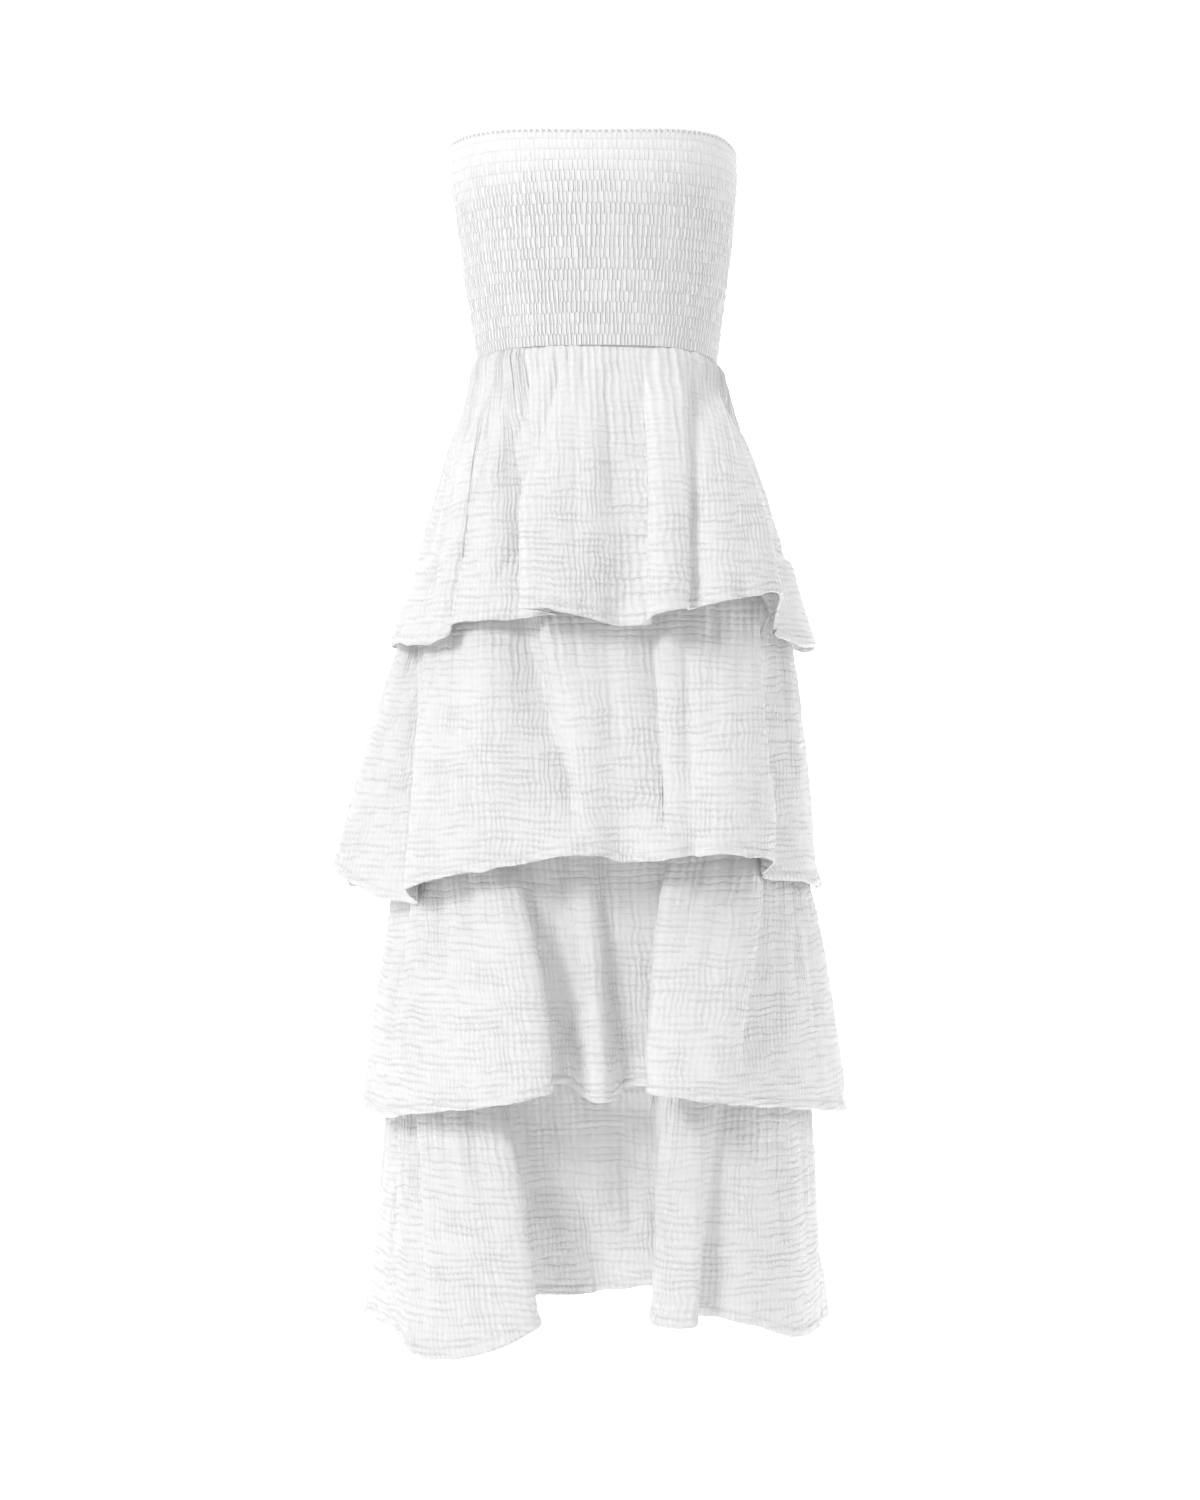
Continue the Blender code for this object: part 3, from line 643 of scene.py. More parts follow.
def curve_between(before, start, end, after, share):
    """A centripetal Catmull-Rom curve from start to end, which never loops at a tight fold."""
    points = (before, start, end, after)
    times = [0.0]
    for a, b in zip(points, points[1:]):
        times.append(times[-1] + math.sqrt(max(float(np.linalg.norm(b - a)), 1e-6)))
    at = times[1] + (times[2] - times[1]) * share

    def mix(a, b, time_a, time_b):
        return a + (b - a) * ((at - time_a) / (time_b - time_a))

    level = [mix(points[i], points[i + 1], times[i], times[i + 1]) for i in range(3)]
    level = [mix(level[i], level[i + 1], times[i], times[i + 2]) for i in range(2)]
    return mix(level[0], level[1], times[1], times[2])


def hem_line(tier, columns):
    """Seam angle, hem point and length along the hem for each column, front half then back half."""
    knots = [(fold.seam_deg, np.array([fold.across, -fold.forward, fold.height])) for fold in tier.front]
    left, right = tier.front[0].across, tier.front[-1].across
    centre, half_width = (left + right) / 2, (right - left) / 2
    for fold in tier.back:
        turn = math.radians(fold.deg)
        oval = np.array([half_width * math.sin(turn), -tier.back_depth * math.cos(turn), 0.0])
        place = oval + oval / np.linalg.norm(oval) * fold.stand_off
        knots.append((fold.deg, np.array([centre + place[0], place[1], fold.height])))
    count, parts = len(knots), 24
    degrees, points = [], []
    for knot in range(count):
        start_deg, start = knots[knot]
        end_deg, end = knots[(knot + 1) % count]
        end_deg += 360.0 if end_deg < start_deg else 0.0
        before, after = knots[knot - 1][1], knots[(knot + 2) % count][1]
        for part in range(parts):
            degrees.append(start_deg + (end_deg - start_deg) * part / parts)
            points.append(curve_between(before, start, end, after, part / parts))
    degrees.append(degrees[0] + 360.0)
    points.append(points[0])
    degrees, points = np.array(degrees), np.array(points)
    length = np.concatenate([[0.0], np.cumsum(np.linalg.norm(np.diff(points, axis=0), axis=1))])
    side = length[(len(tier.front) - 1) * parts]
    wanted = np.concatenate([
        np.linspace(0.0, side, columns, endpoint=False),
        np.linspace(side, length[-1], columns, endpoint=False),
    ])
    hem = np.stack([np.interp(wanted, length, points[:, i]) for i in range(3)], axis=-1)
    return np.interp(wanted, length, degrees), hem, wanted, side, length[-1]


def wall_piece(name, outside, inside, cloth_uv, inside_uv, material):
    """A closed wall of cloth: a fine outer skin and a plainer inner one, joined along all four edges."""
    rows, cols = outside.shape[:2]
    inner_rows = inside.shape[0]
    step = (rows - 1) // (inner_rows - 1)
    points = np.concatenate([outside.reshape(-1, 3), inside.reshape(-1, 3)])
    flat = np.concatenate([cloth_uv.reshape(-1, 2), inside_uv.reshape(-1, 2)])
    outer = np.arange(rows * cols).reshape(rows, cols)
    inner = np.arange(inner_rows * cols).reshape(inner_rows, cols) + rows * cols

    def quads(ids, flip):
        corners = (ids[:-1, :-1], ids[1:, :-1], ids[1:, 1:], ids[:-1, 1:])
        return np.stack(corners[::-1] if flip else corners, axis=-1).reshape(-1, 4)

    faces = [quads(outer, False), quads(inner, True)]
    faces.append(np.stack([outer[0, :-1], outer[0, 1:], inner[0, 1:], inner[0, :-1]], axis=-1))
    faces.append(np.stack([inner[-1, :-1], inner[-1, 1:], outer[-1, 1:], outer[-1, :-1]], axis=-1))
    polygons = [face for group in faces for face in group.tolist()]
    for row in range(inner_rows - 1):
        left = outer[row * step:(row + 1) * step + 1, 0].tolist()
        right = outer[row * step:(row + 1) * step + 1, -1].tolist()
        polygons.append([inner[row, 0], inner[row + 1, 0], *left[::-1]])
        polygons.append([*right, inner[row + 1, -1], inner[row, -1]])
    mesh = bpy.data.meshes.new(name)
    mesh.from_pydata(points.tolist(), [], polygons)
    corner_points = np.zeros(len(mesh.loops), dtype=np.int32)
    mesh.loops.foreach_get("vertex_index", corner_points)
    layer = mesh.uv_layers.new(name="cloth")
    layer.data.foreach_set("uv", flat[corner_points].astype(np.float32).ravel())
    mesh.shade_smooth()
    mesh.set_sharp_from_angle(angle=math.radians(70))
    mesh.materials.append(material)
    if mesh.validate(verbose=False):
        raise RuntimeError(f"{name} has faces that had to be mended")
    piece = bpy.data.objects.new(name, mesh)
    bpy.context.scene.collection.objects.link(piece)
    return piece


def calc(tree, operation, first, second=0.0, third=0.0):
    """The result of one Math node."""
    node = add_node(tree, "ShaderNodeMath", {"operation": operation}, i0=first, i1=second, i2=third)
    return node.outputs[0]


def soft_range(tree, value, low, high):
    """0 below low and 1 above high, with a soft change between."""
    return add_node(
        tree, "ShaderNodeMapRange", {"interpolation_type": "SMOOTHSTEP"},
        Value=value, From_Min=low, From_Max=high, To_Min=0.0, To_Max=1.0,
    ).outputs[0]


def times(tree, value, factor):
    """The value times a number or another value."""
    return calc(tree, "MULTIPLY", value, factor)


def blend(tree, value, slope, base):
    """The value times its slope, on top of a base."""
    return calc(tree, "MULTIPLY_ADD", value, slope, base)


def flat_noise(tree, across, down):
    """Noise from 0 to 1 with one bump for each whole step of the two coordinates."""
    place = add_node(tree, "ShaderNodeCombineXYZ", X=across, Y=down).outputs[0]
    return add_node(
        tree, "ShaderNodeTexNoise", {"noise_dimensions": "2D"}, Vector=place, Scale=1.0, Detail=1.0
    ).outputs[0]


def cloth_noise(tree, across, down, width, height):
    """Noise from 0 to 1 with bumps of about the given width and height on the cloth."""
    return flat_noise(tree, times(tree, across, 1 / width), times(tree, down, 1 / height))


def row_noise(tree, across, row, width, jump):
    """Noise of its own in each row, with bumps of about the given width."""
    return flat_noise(tree, times(tree, across, 1 / width), times(tree, row, jump))


def woven_threads(tree, across, down):
    """The threads of the weave, as noise from 0 to 1."""
    return cloth_noise(tree, across, down, width=DRAWN_THREADS, height=DRAWN_THREADS)


def cotton_shader(name, height, relief, tint, colour, painted_shade_colour):
    """Links a relief and a tint of painted shade in the creases to a matt cotton shader with a soft fibre
    sheen.
    """
    material = bpy.data.materials[name]
    tree = material.node_tree
    shader = tree.nodes["Principled BSDF"]
    shader.inputs["Roughness"].default_value = 0.92
    shader.inputs["Metallic"].default_value = 0.0
    shader.inputs["Specular IOR Level"].default_value = 0.2
    shader.inputs["Sheen Weight"].default_value = 0.08
    shader.inputs["Sheen Roughness"].default_value = 0.5
    bump = add_node(tree, "ShaderNodeBump", Height=height, Strength=1.0, Distance=relief)
    tree.links.new(bump.outputs[0], shader.inputs["Normal"])
    # Painted shade: the tint greys the white towards the crease colour where shade would fall
    mix = add_node(tree, "ShaderNodeMix", {"data_type": "RGBA"}, i0=tint)
    mix.inputs[6].default_value = linear(colour)
    mix.inputs[7].default_value = linear(painted_shade_colour)
    tree.links.new(mix.outputs[2], shader.inputs["Base Color"])
    return material


def cloth_coordinates(name):
    """A new material's tree, with the metres across and down the cloth."""
    material = bpy.data.materials.new(name)
    material.use_nodes = True
    tree = material.node_tree
    cloth = add_node(tree, "ShaderNodeUVMap", {"uv_map": "cloth"}).outputs["UV"]
    split = add_node(tree, "ShaderNodeSeparateXYZ", Vector=cloth).outputs
    return tree, split["X"], split["Y"]


def crinkled_gauze(name, line_pitch, rib_pitch, relief):
    """Cotton double gauze: two open plain weaves tacked together, washed so that they crinkle.

    The eye sees long thin creases across the cloth, soft short ribs down it between them, and so a
    blistered grid. The creases fade in and out along their length, each on its own.
    """
    dress = bpy.context.scene.dress_cloth
    tree, across, down = cloth_coordinates(name)
    towards_hem = soft_range(tree, down, 0.02, 0.19)
    # Ribs down the cloth, wider apart near the gathers where the cloth is drawn together
    drift = cloth_noise(tree, across, down, width=0.016, height=0.020)

    def ribs(pitch, sway):
        turns = blend(tree, drift, sway, times(tree, across, 1 / pitch))
        return calc(tree, "SINE", times(tree, turns, FULL_TURN))

    near, far = ribs(rib_pitch * NEAR_RIB_SPREAD, NEAR_RIB_SWAY), ribs(rib_pitch, FAR_RIB_SWAY)
    wave = blend(tree, towards_hem, calc(tree, "SUBTRACT", far, near), near)
    patch = soft_range(tree, cloth_noise(tree, across, down, width=0.034, height=0.050), 0.34, 0.66)
    rib = times(tree, wave, blend(tree, patch, 0.6, 0.4))
    rib = times(tree, rib, blend(tree, towards_hem, -0.35, 1.0))

    # Creases across the cloth, which sway, and step over each rib like the courses of a basket
    sway = cloth_noise(tree, across, down, width=0.110, height=0.070)
    waver = cloth_noise(tree, across, down, width=0.022, height=0.018)
    phase = blend(tree, sway, 2.2, times(tree, down, 1 / line_pitch))
    phase = blend(tree, waver, 0.7, phase)
    phase = blend(tree, wave, 0.07, phase)
    row = calc(tree, "FLOOR", phase)
    share = calc(tree, "FRACT", phase)
    off_line = calc(tree, "ABSOLUTE", calc(tree, "SUBTRACT", share, 0.5))
    line = calc(tree, "SUBTRACT", 1.0, soft_range(tree, off_line, 0.0, 0.30))
    lives = soft_range(tree, row_noise(tree, across, row, width=0.036, jump=7.31), 0.30, 0.66)
    line = times(tree, line, blend(tree, lives, 0.75, 0.25))
    line = times(tree, line, blend(tree, towards_hem, 0.55, 0.45))
    height = blend(tree, line, -0.70, times(tree, rib, 0.50))
    height = blend(tree, woven_threads(tree, across, down), 0.12, height)
    # Painted shade: the colour greys in each crease across the cloth and in the hollows between the ribs,
    # where shade falls
    tint = blend(tree, line, 0.34, blend(tree, rib, -0.26, 0.26))
    return cotton_shader(name, height, relief, tint, dress.white, dress.crease)


def shirred_gauze(name, rows_apart, pucker_width, relief):
    """Double gauze drawn up on rows of elastic thread: fine upright puckers between level grooves."""
    dress = bpy.context.scene.dress_cloth
    tree, across, down = cloth_coordinates(name)
    waver = cloth_noise(tree, across, down, width=0.020, height=0.030)
    phase = times(tree, down, 1 / rows_apart)
    phase = calc(tree, "ADD", phase, blend(tree, waver, 0.20, -0.10))
    row = calc(tree, "FLOOR", phase)
    share = calc(tree, "FRACT", phase)
    puff = calc(tree, "SINE", times(tree, share, HALF_TURN))
    groove = calc(tree, "SUBTRACT", 1.0, soft_range(tree, puff, 0.0, 0.42))
    own = flat_noise(tree, times(tree, row, 13.7), times(tree, row, 5.3))
    drift = row_noise(tree, across, row, width=0.013, jump=3.7)
    wave = blend(tree, drift, 1.2, times(tree, across, 1 / pucker_width))
    wave = blend(tree, own, 3.0, wave)
    wave = calc(tree, "SINE", times(tree, wave, FULL_TURN))
    valley = soft_range(tree, wave, -1.0, 0.1)
    strength = row_noise(tree, across, row, width=0.028, jump=2.9)
    strength = blend(tree, soft_range(tree, strength, 0.30, 0.60), 0.30, 0.70)
    # The puckers are shallow in the bodice's upper rows and full further down
    strength = times(tree, strength, blend(tree, soft_range(tree, down, 0.01, 0.08), 0.8, 0.2))
    pucker = times(tree, calc(tree, "SUBTRACT", 1.0, valley), strength)
    # The stitches of the turned top edge sink in, and their dotted line is also greyed with painted shade
    beside = calc(tree, "ABSOLUTE", calc(tree, "SUBTRACT", down, RIM_STITCHES_DOWN))
    dots = calc(tree, "SINE", times(tree, across, FULL_TURN / RIM_STITCH_PITCH))
    on_line = calc(tree, "SUBTRACT", 1.0, soft_range(tree, beside, 0.0003, 0.0012))
    dots = times(tree, soft_range(tree, dots, 0.0, 0.6), on_line)
    height = blend(tree, groove, -0.15, times(tree, pucker, -1.4))
    height = blend(tree, woven_threads(tree, across, down), 0.12, height)
    height = blend(tree, dots, -0.8, height)
    # Painted shade: the colour greys in the grooves between the rows, in the valleys between the puckers and
    # in the sunk stitches
    tint = blend(tree, groove, 0.05, times(tree, pucker, 0.42))
    tint = calc(tree, "ADD", tint, dots)
    return cotton_shader(name, height, relief, tint, dress.white, dress.crease)


def spun_thread(name, colour):
    """Spun polyester sewing thread, mercerised to a slight gloss: a small round highlight on each stitch."""
    material = bpy.data.materials.new(name)
    material.use_nodes = True
    tree = material.node_tree
    shader = tree.nodes["Principled BSDF"]
    shader.inputs["Roughness"].default_value = 0.6
    shader.inputs["Metallic"].default_value = 0.0
    shader.inputs["Sheen Weight"].default_value = 0.2
    place = add_node(tree, "ShaderNodeTexCoord").outputs["Object"]
    # Twist of the thread, one turn in about 1 mm
    noise = add_node(tree, "ShaderNodeTexNoise", Vector=place, Scale=1000.0, Detail=1.0).outputs[0]
    tint = add_node(tree, "ShaderNodeMix", {"data_type": "RGBA"}, i0=noise)
    tint.inputs[6].default_value = linear("#E2E2E0")
    tint.inputs[7].default_value = linear(colour)
    tree.links.new(tint.outputs[2], shader.inputs["Base Color"])
    return material


def finish_of(kind):
    """The dress's finishes, each made once and then shared by its pieces."""
    dress = bpy.context.scene.dress_cloth
    made = bpy.data.materials.get(kind)
    if made:
        return made
    if kind == "crinkled_double_gauze":
        return crinkled_gauze(kind, LINE_PITCH, RIB_PITCH, dress.crinkle_relief)
    if kind == "shirred_double_gauze":
        rows_apart = (TOP_EDGE_Z - WAIST_Z) / SHIRRED_ROWS
        return shirred_gauze(kind, rows_apart, dress.pucker_width, dress.crinkle_relief)
    if kind == "plain_cotton_lawn":
        return crinkled_gauze(kind, LAWN_LINE_PITCH, LAWN_RIB_PITCH, LAWN_RELIEF)
    return spun_thread(kind, dress.white)


def stitches_tree():
    """A tree that lays a row of short stitches along each line of a piece."""
    tree = bpy.data.node_groups.new("rows_of_stitches", "GeometryNodeTree")
    tree.is_modifier = True
    face = tree.interface
    face.new_socket("Lines", in_out="INPUT", socket_type="NodeSocketGeometry")
    for name, default in (("Stitch Pitch", 0.0034), ("Stitch Length", 0.0024), ("Thread Width", 0.0005)):
        socket = face.new_socket(name, in_out="INPUT", socket_type="NodeSocketFloat")
        socket.default_value = default
        socket.subtype = "DISTANCE"
    face.new_socket("Thread", in_out="INPUT", socket_type="NodeSocketMaterial")
    face.new_socket("Stitches", in_out="OUTPUT", socket_type="NodeSocketGeometry")
    given = add_node(tree, "NodeGroupInput").outputs
    curve = add_node(tree, "GeometryNodeMeshToCurve", Mesh=given["Lines"]).outputs[0]
    points = add_node(
        tree, "GeometryNodeCurveToPoints", {"mode": "LENGTH"}, Curve=curve, Length=given["Stitch Pitch"]
    )
    radius = add_node(
        tree, "ShaderNodeMath", {"operation": "MULTIPLY"}, i0=given["Thread Width"], i1=0.5
    ).outputs[0]
    stitch = add_node(
        tree, "GeometryNodeMeshCylinder", {"fill_type": "NGON"},
        Vertices=5, Radius=radius, Depth=given["Stitch Length"],
    ).outputs["Mesh"]
    laid = add_node(
        tree, "GeometryNodeInstanceOnPoints",
        Points=points.outputs["Points"], Instance=stitch, Rotation=points.outputs["Rotation"],
    ).outputs[0]
    real = add_node(tree, "GeometryNodeRealizeInstances", Geometry=laid).outputs[0]
    dyed = add_node(tree, "GeometryNodeSetMaterial", Geometry=real, Material=given["Thread"]).outputs[0]
    add_node(tree, "NodeGroupOutput", Stitches=dyed)
    return tree


def sew(name, lines):
    """Rows of stitches along the lines, each an array of points, as one plain piece."""
    sewing = bpy.context.scene.dress_sewing
    points = np.concatenate(lines)
    edges, start = [], 0
    for line in lines:
        edges += [(start + i, start + i + 1) for i in range(len(line) - 1)]
        start += len(line)
    mesh = bpy.data.meshes.new(name + "_lines")
    mesh.from_pydata(points.tolist(), edges, [])
    guide = bpy.data.objects.new(name + "_lines", mesh)
    bpy.context.scene.collection.objects.link(guide)
    tree = bpy.data.node_groups.get("rows_of_stitches") or stitches_tree()
    modifier = guide.modifiers.new("stitches", "NODES")
    modifier.node_group = tree
    wanted = {
        "Stitch Pitch": sewing.stitch_pitch,
        "Stitch Length": sewing.stitch_length,
        "Thread Width": sewing.thread_width,
        "Thread": finish_of("white_sewing_thread"),
    }
    for item in tree.interface.items_tree:
        if item.in_out == "INPUT" and item.name in wanted:
            modifier[item.identifier] = wanted[item.name]
    bpy.context.view_layer.update()
    evaluated = guide.evaluated_get(bpy.context.evaluated_depsgraph_get())
    plain = bpy.data.meshes.new_from_object(evaluated)
    guide.modifiers.remove(modifier)
    bpy.data.objects.remove(guide)
    plain.name = name
    plain.shade_smooth()
    piece = bpy.data.objects.new(name, plain)
    bpy.context.scene.collection.objects.link(piece)
    if not len(plain.polygons):
        raise RuntimeError(f"{name} has no stitches")
    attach(piece, "root")
    return piece


def settle(piece, node):
    """Hands a finished sheet of cloth to the frame, in the place of its solid."""
    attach(piece, "root")
    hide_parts(node)


def from_side_seam(along, side, whole):
    """Each column's distance from the nearest side seam, and a share that is 0 on it and 1 clear of it."""
    distance = np.minimum(np.minimum(along, np.abs(along - side)), whole - along)
    return distance, smooth_step(0.0, SIDE_SEAM_REACH, distance)


def round_degrees(columns):
    """The angles of the columns of both halves, from the left side seam round the front."""
    return -90.0 + 180.0 * np.arange(2 * columns) / columns


def half_columns(columns):
    """Front and back with the columns of each, which take in both its side seams."""
    front = np.arange(0, columns + 1)
    back = np.arange(columns, 2 * columns + 1) % (2 * columns)
    return ("front", front), ("back", back)


def lengths_round(rings):
    """The length of each step round the rings, and how far round each point lies."""
    steps = np.linalg.norm(np.roll(rings, -1, axis=1) - rings, axis=-1)
    start = np.zeros((len(rings), 1))
    return steps, np.concatenate([start, np.cumsum(steps, axis=1)[:, :-1]], axis=1)


def half_uv(cloth, column_set):
    """The cloth's metres for one half, carried on past the column where the count starts again."""
    uv = cloth[:, column_set].copy()
    uv[:, -1, 0] = uv[:, -2, 0] + (uv[:, -2, 0] - uv[:, -3, 0])
    return uv


def closed(line):
    """A ring of points that ends where it starts."""
    return np.concatenate([line, line[:1]])


def make_bodice():
    """The shirred tube: rows of elastic thread, puffs between them and pleats drawn up on each row."""
    dress = bpy.context.scene.dress_cloth
    columns, every = BODICE_COLUMNS, ROWS_PER_SHIRRING
    rows = SHIRRED_ROWS * every + 1
    degrees = round_degrees(columns)
    heights = np.linspace(TOP_EDGE_Z, WAIST_Z, rows)
    base = body_points(BODICE, degrees[None, :], heights[:, None])
    normals = tube_normals(base)
    steps, along = lengths_round(base)
    steps, along = steps[rows // 2], along[rows // 2]
    _, clear = from_side_seam(along, along[columns], float(steps.sum()))
    u = along[None, :]

    # One puff between two rows of elastic, with pleats that start anew in each row
    band = np.arange(rows)[:, None] / every
    drift = value_noise(u / 0.030, band / 1.6, 11) * 0.9
    jump = value_noise(np.floor(band) * 7.3 + 0.5, 0.5, 12) * 1.2
    pleats = np.cos(PLEAT_HALF_TURNS * np.pi * u / dress.pucker_width + 0.4 * drift + 3.0 * jump)
    puff = 0.5 - 0.5 * np.cos(2 * np.pi * (band - np.floor(band)))
    uneven = 1.0 + 0.30 * value_noise(u / 0.012, band, 13)
    rise = dress.puff_height * (puff * (0.60 + 0.24 * pleats) * uneven + 0.20 * (1 - puff))
    rise = rise * (0.25 + 0.75 * clear)[None, :]
    calm = smooth_step(0.0, PUFFS_CALM_ABOVE_WAIST, heights - WAIST_Z)
    rise = rise * (0.15 + 0.85 * calm)[:, None]

    # The top edge is turned in once and stitched, which leaves a flat rim of 5 mm
    from_top = (TOP_EDGE_Z - heights)[:, None]
    rim = 1.0 - smooth_step(RIM_START, RIM_END, from_top)
    rise = rise * (1 - 0.55 * rim) + RIM_RISE * rim
    outer = base + normals * (BODICE_SKIN_OUT + rise)[..., None]
    rim_wave = np.cos(2 * np.pi * along / RIM_WAVE + 3 * drift[0])
    outer[0, :, 2] = TOP_EDGE_Z + RIM_WAVE_HEIGHT * rim_wave
    outer[-1, :, 2] = WAIST_Z
    inner = base[::every] - normals[::every] * BODICE_SKIN_IN
    inner[0, :, 2] = outer[0, :, 2]
    inner[-1, :, 2] = WAIST_Z

    # The top edge lifts at four corners and dips under the wearer's left arm, and the waist seam
    # dips at the sides
    under_arm = np.exp(-(((degrees - UNDER_ARM_DEGREES) / UNDER_ARM_SPREAD) ** 2))
    top_dip = TOP_EDGE_LIFT * np.sin(np.radians(degrees) * 2) ** 2 - UNDER_ARM_DIP * under_arm
    above_waist = (heights - WAIST_Z)[:, None]
    for skin, step in ((outer, 1), (inner, every)):
        near_top = 1 - smooth_step(0.0, TOP_EDGE_BEND, from_top[::step])
        near_waist = 1 - smooth_step(0.0, WAIST_BEND, above_waist[::step])
        skin[:, :, 2] += top_dip[None, :] * near_top
        skin[:, :, 2] -= waist_dip(degrees)[None, :] * near_waist

    cloth = np.stack(np.broadcast_arrays(u, from_top), axis=-1)
    finish = finish_of("shirred_double_gauze")
    for half, column_set in half_columns(columns):
        uv = half_uv(cloth, column_set)
        skins = outer[:, column_set], inner[:, column_set]
        piece = wall_piece(f"bodice_{half}_shirred", *skins, uv, uv[::every], finish)
        settle(piece, f"bodice_{half}")
    lines = [outer[row * every] + normals[row * every] * ELASTIC_LIFT for row in range(1, SHIRRED_ROWS)]
    # The rim is stitched down halfway between rings 3 and 4
    lines.append((outer[3] + outer[4]) / 2 + normals[4] * RIM_STITCH_LIFT)
    thread = sew("shirring_thread", [closed(line) for line in lines])


def make_underskirt():
    """The plain A-line skirt under the tiers. It only shows inside the hem and from below."""
    columns, rows = UNDERSKIRT_COLUMNS, UNDERSKIRT_ROWS
    degrees = round_degrees(columns)
    heights = np.linspace(WAIST_Z - SEAM_GAP, UNDERSKIRT_HEM_Z, rows + 1)
    base = body_points(SKIRT, degrees[None, :], heights[:, None])
    normals = tube_normals(base)
    fade_in = smooth_step(0.1, 1.0, np.arange(rows + 1) / rows)[:, None]
    hang = np.cos(np.radians(degrees) * LAWN_WAVES)[None, :] * LAWN_WAVE_HEIGHT * fade_in
    outer = base + normals * (UNDERSKIRT_CLOTH / 2 - LAWN_SKIN_SHIFT + hang)[..., None]
    inner = base - normals * (UNDERSKIRT_CLOTH / 2 + LAWN_SKIN_SHIFT - hang)[..., None]
    inner = inner[::INSIDE_EVERY]
    below_waist = (WAIST_Z - heights)[:, None]
    for skin, step in ((outer, 1), (inner, INSIDE_EVERY)):
        near_waist = 1 - smooth_step(0.0, WAIST_BEND, below_waist[::step])
        skin[0, :, 2] = WAIST_Z - SEAM_GAP
        skin[:, :, 2] -= waist_dip(degrees)[None, :] * near_waist
    steps, along = lengths_round(base)
    cloth = np.stack([along, np.broadcast_to(-heights[:, None], along.shape)], axis=-1)
    finish = finish_of("plain_cotton_lawn")
    for half, column_set in half_columns(columns):
        uv = half_uv(cloth, column_set)
        skins = outer[:, column_set], inner[:, column_set]
        piece = wall_piece(f"underskirt_{half}_lawn", *skins, uv, uv[::INSIDE_EVERY], finish)
        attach(piece, "root")
        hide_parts(f"underskirt_{half}")


def along_at(degrees, along, wanted, whole):
    """Length along the hem at given angles, which may pass the ends of the round."""
    all_degrees = np.concatenate([degrees - 360.0, degrees, degrees + 360.0])
    all_along = np.concatenate([along - whole, along, along + whole])
    return np.interp(wanted, all_degrees, all_along)


def tier_surface(tier, columns, downs):
    """The tier's smooth form: it hangs from its seam and falls into the folds of its hem."""
    degrees, hem, along, side, whole = hem_line(tier, columns)
    section = sections_at(SKIRT, np.full(degrees.shape, tier.seam_z))
    across = oval_points(section, degrees)[:, 0]
    fall_in = np.exp(-(((across - RECESS_ACROSS) / RECESS_WIDTH) ** 2))
    slack = RECESS_SLACK * section.recess * fall_in * np.maximum(np.cos(np.radians(degrees)), 0.0)
    seam = body_points(SKIRT, degrees, section.height, TIER_OFF_BODY + slack)
    to_right = (1.0 + np.sin(np.radians(degrees))) / 2
    bell = tier.bell_left + (tier.bell_right - tier.bell_left) * to_right
    down = downs[:, None]
    # At the waist the sides fall straight for a little way before they flare, and the seam dips there
    at_waist = 1.0 if tier.seam_z > TIER_SEAM_Z[1] else 0.0
    late = at_waist * LATE_FLARE * np.sin(np.radians(degrees)) ** 4
    late = late[None, :] * smooth_step(0.0, 0.09, down) * (1.0 - smooth_step(0.12, 0.30, down))
    belled = (1.0 - (1.0 - down + late) ** bell[None, :])[..., None]
    grid = seam[None, :, :] * (1 - belled) + hem[None, :, :] * belled
    top = tier.seam_z - at_waist * waist_dip(degrees)[None, :]
    grid[..., 2] = top + (hem[None, :, 2] - top) * down
    room = TIER_OFF_BODY + 0.0012 * smooth_step(0.0, 0.06, down)
    below = [z for z in TIER_SEAM_Z if z < tier.seam_z - SEAM_GAP * 2]
    if below:
        past = below[0] + NEXT_TIER_ROOM - grid[..., 2]
        over_next = np.where(past > 0, NEXT_TIER_ROOM + past * tier.flare, 0.0)
        room = room + over_next * smooth_step(0.0, 0.012, past)
    grid[1:] = resting_outside(grid[1:], room[1:])
    return grid, room, degrees, along, side, whole


def crease_window(start, end, down):
    """How far a crease shows: it fades in below its start, and out again if it ends above the hem."""
    if start > 0.0:
        window = smooth_step(start - 0.02, start + 0.16, down)
    else:
        window = 0.35 + 0.65 * smooth_step(0.0, 0.15, down)
    if end < 0.99:
        window = window * (1.0 - smooth_step(end - 0.20, end + 0.02, down))
    return window


def laid_creases(tier, rise, degrees, along, whole, downs):
    """The rise of the cloth with the tier's listed creases laid in, each a soft two-sided slope."""
    down = downs[:, None]
    for crease in tier.creases:
        turns, depths = np.array(crease.path).T
        path_u = along_at(degrees, along, np.interp(downs, depths, turns), whole)
        off = (along[None, :] - path_u[:, None] + whole / 2) % whole - whole / 2
        slope = np.where(off < 0, off / (0.001 * crease.left), off / (0.001 * crease.right))
        window = crease_window(depths[0], depths[-1], down)
        rise = rise + 0.001 * crease.depth * np.exp(0.14 - np.sqrt(slope ** 2 + 0.02)) * window
    return rise


def gathered_rise(tier, degrees, along, whole, downs, clear, seed):
    """Gathers that are tight at the seam and open out down the tier, long folds and creases."""
    down, u = downs[:, None], along[None, :]
    tight = creased(value_noise(u / 0.0135, down * 1.6, seed + 1), 0.42)
    wide = creased(value_noise(u / 0.034 + 0.4 * down, down * 1.3, seed + 2), 0.5)
    long_folds = value_noise(u / 0.060, down * 0.9 + 3.0, seed + 3)
    fade_in = smooth_step(0.0, 0.035, down)
    rise = TIGHT_GATHERS * tight * (0.50 + 0.50 * fade_in) * np.exp(-((down / 0.34) ** 2))
    rise = rise + WIDE_GATHERS * wide * fade_in * np.exp(-((down / 0.75) ** 2))
    rise = rise + LONG_FOLDS * long_folds * smooth_step(0.10, 0.5, down)
    rise = rise + OUTWARD_EASE * smooth_step(0.0, 0.45, down)
    rise = laid_creases(tier, rise, degrees, along, whole, downs)
    return rise * (clear[None, :] * 0.85 + 0.15)


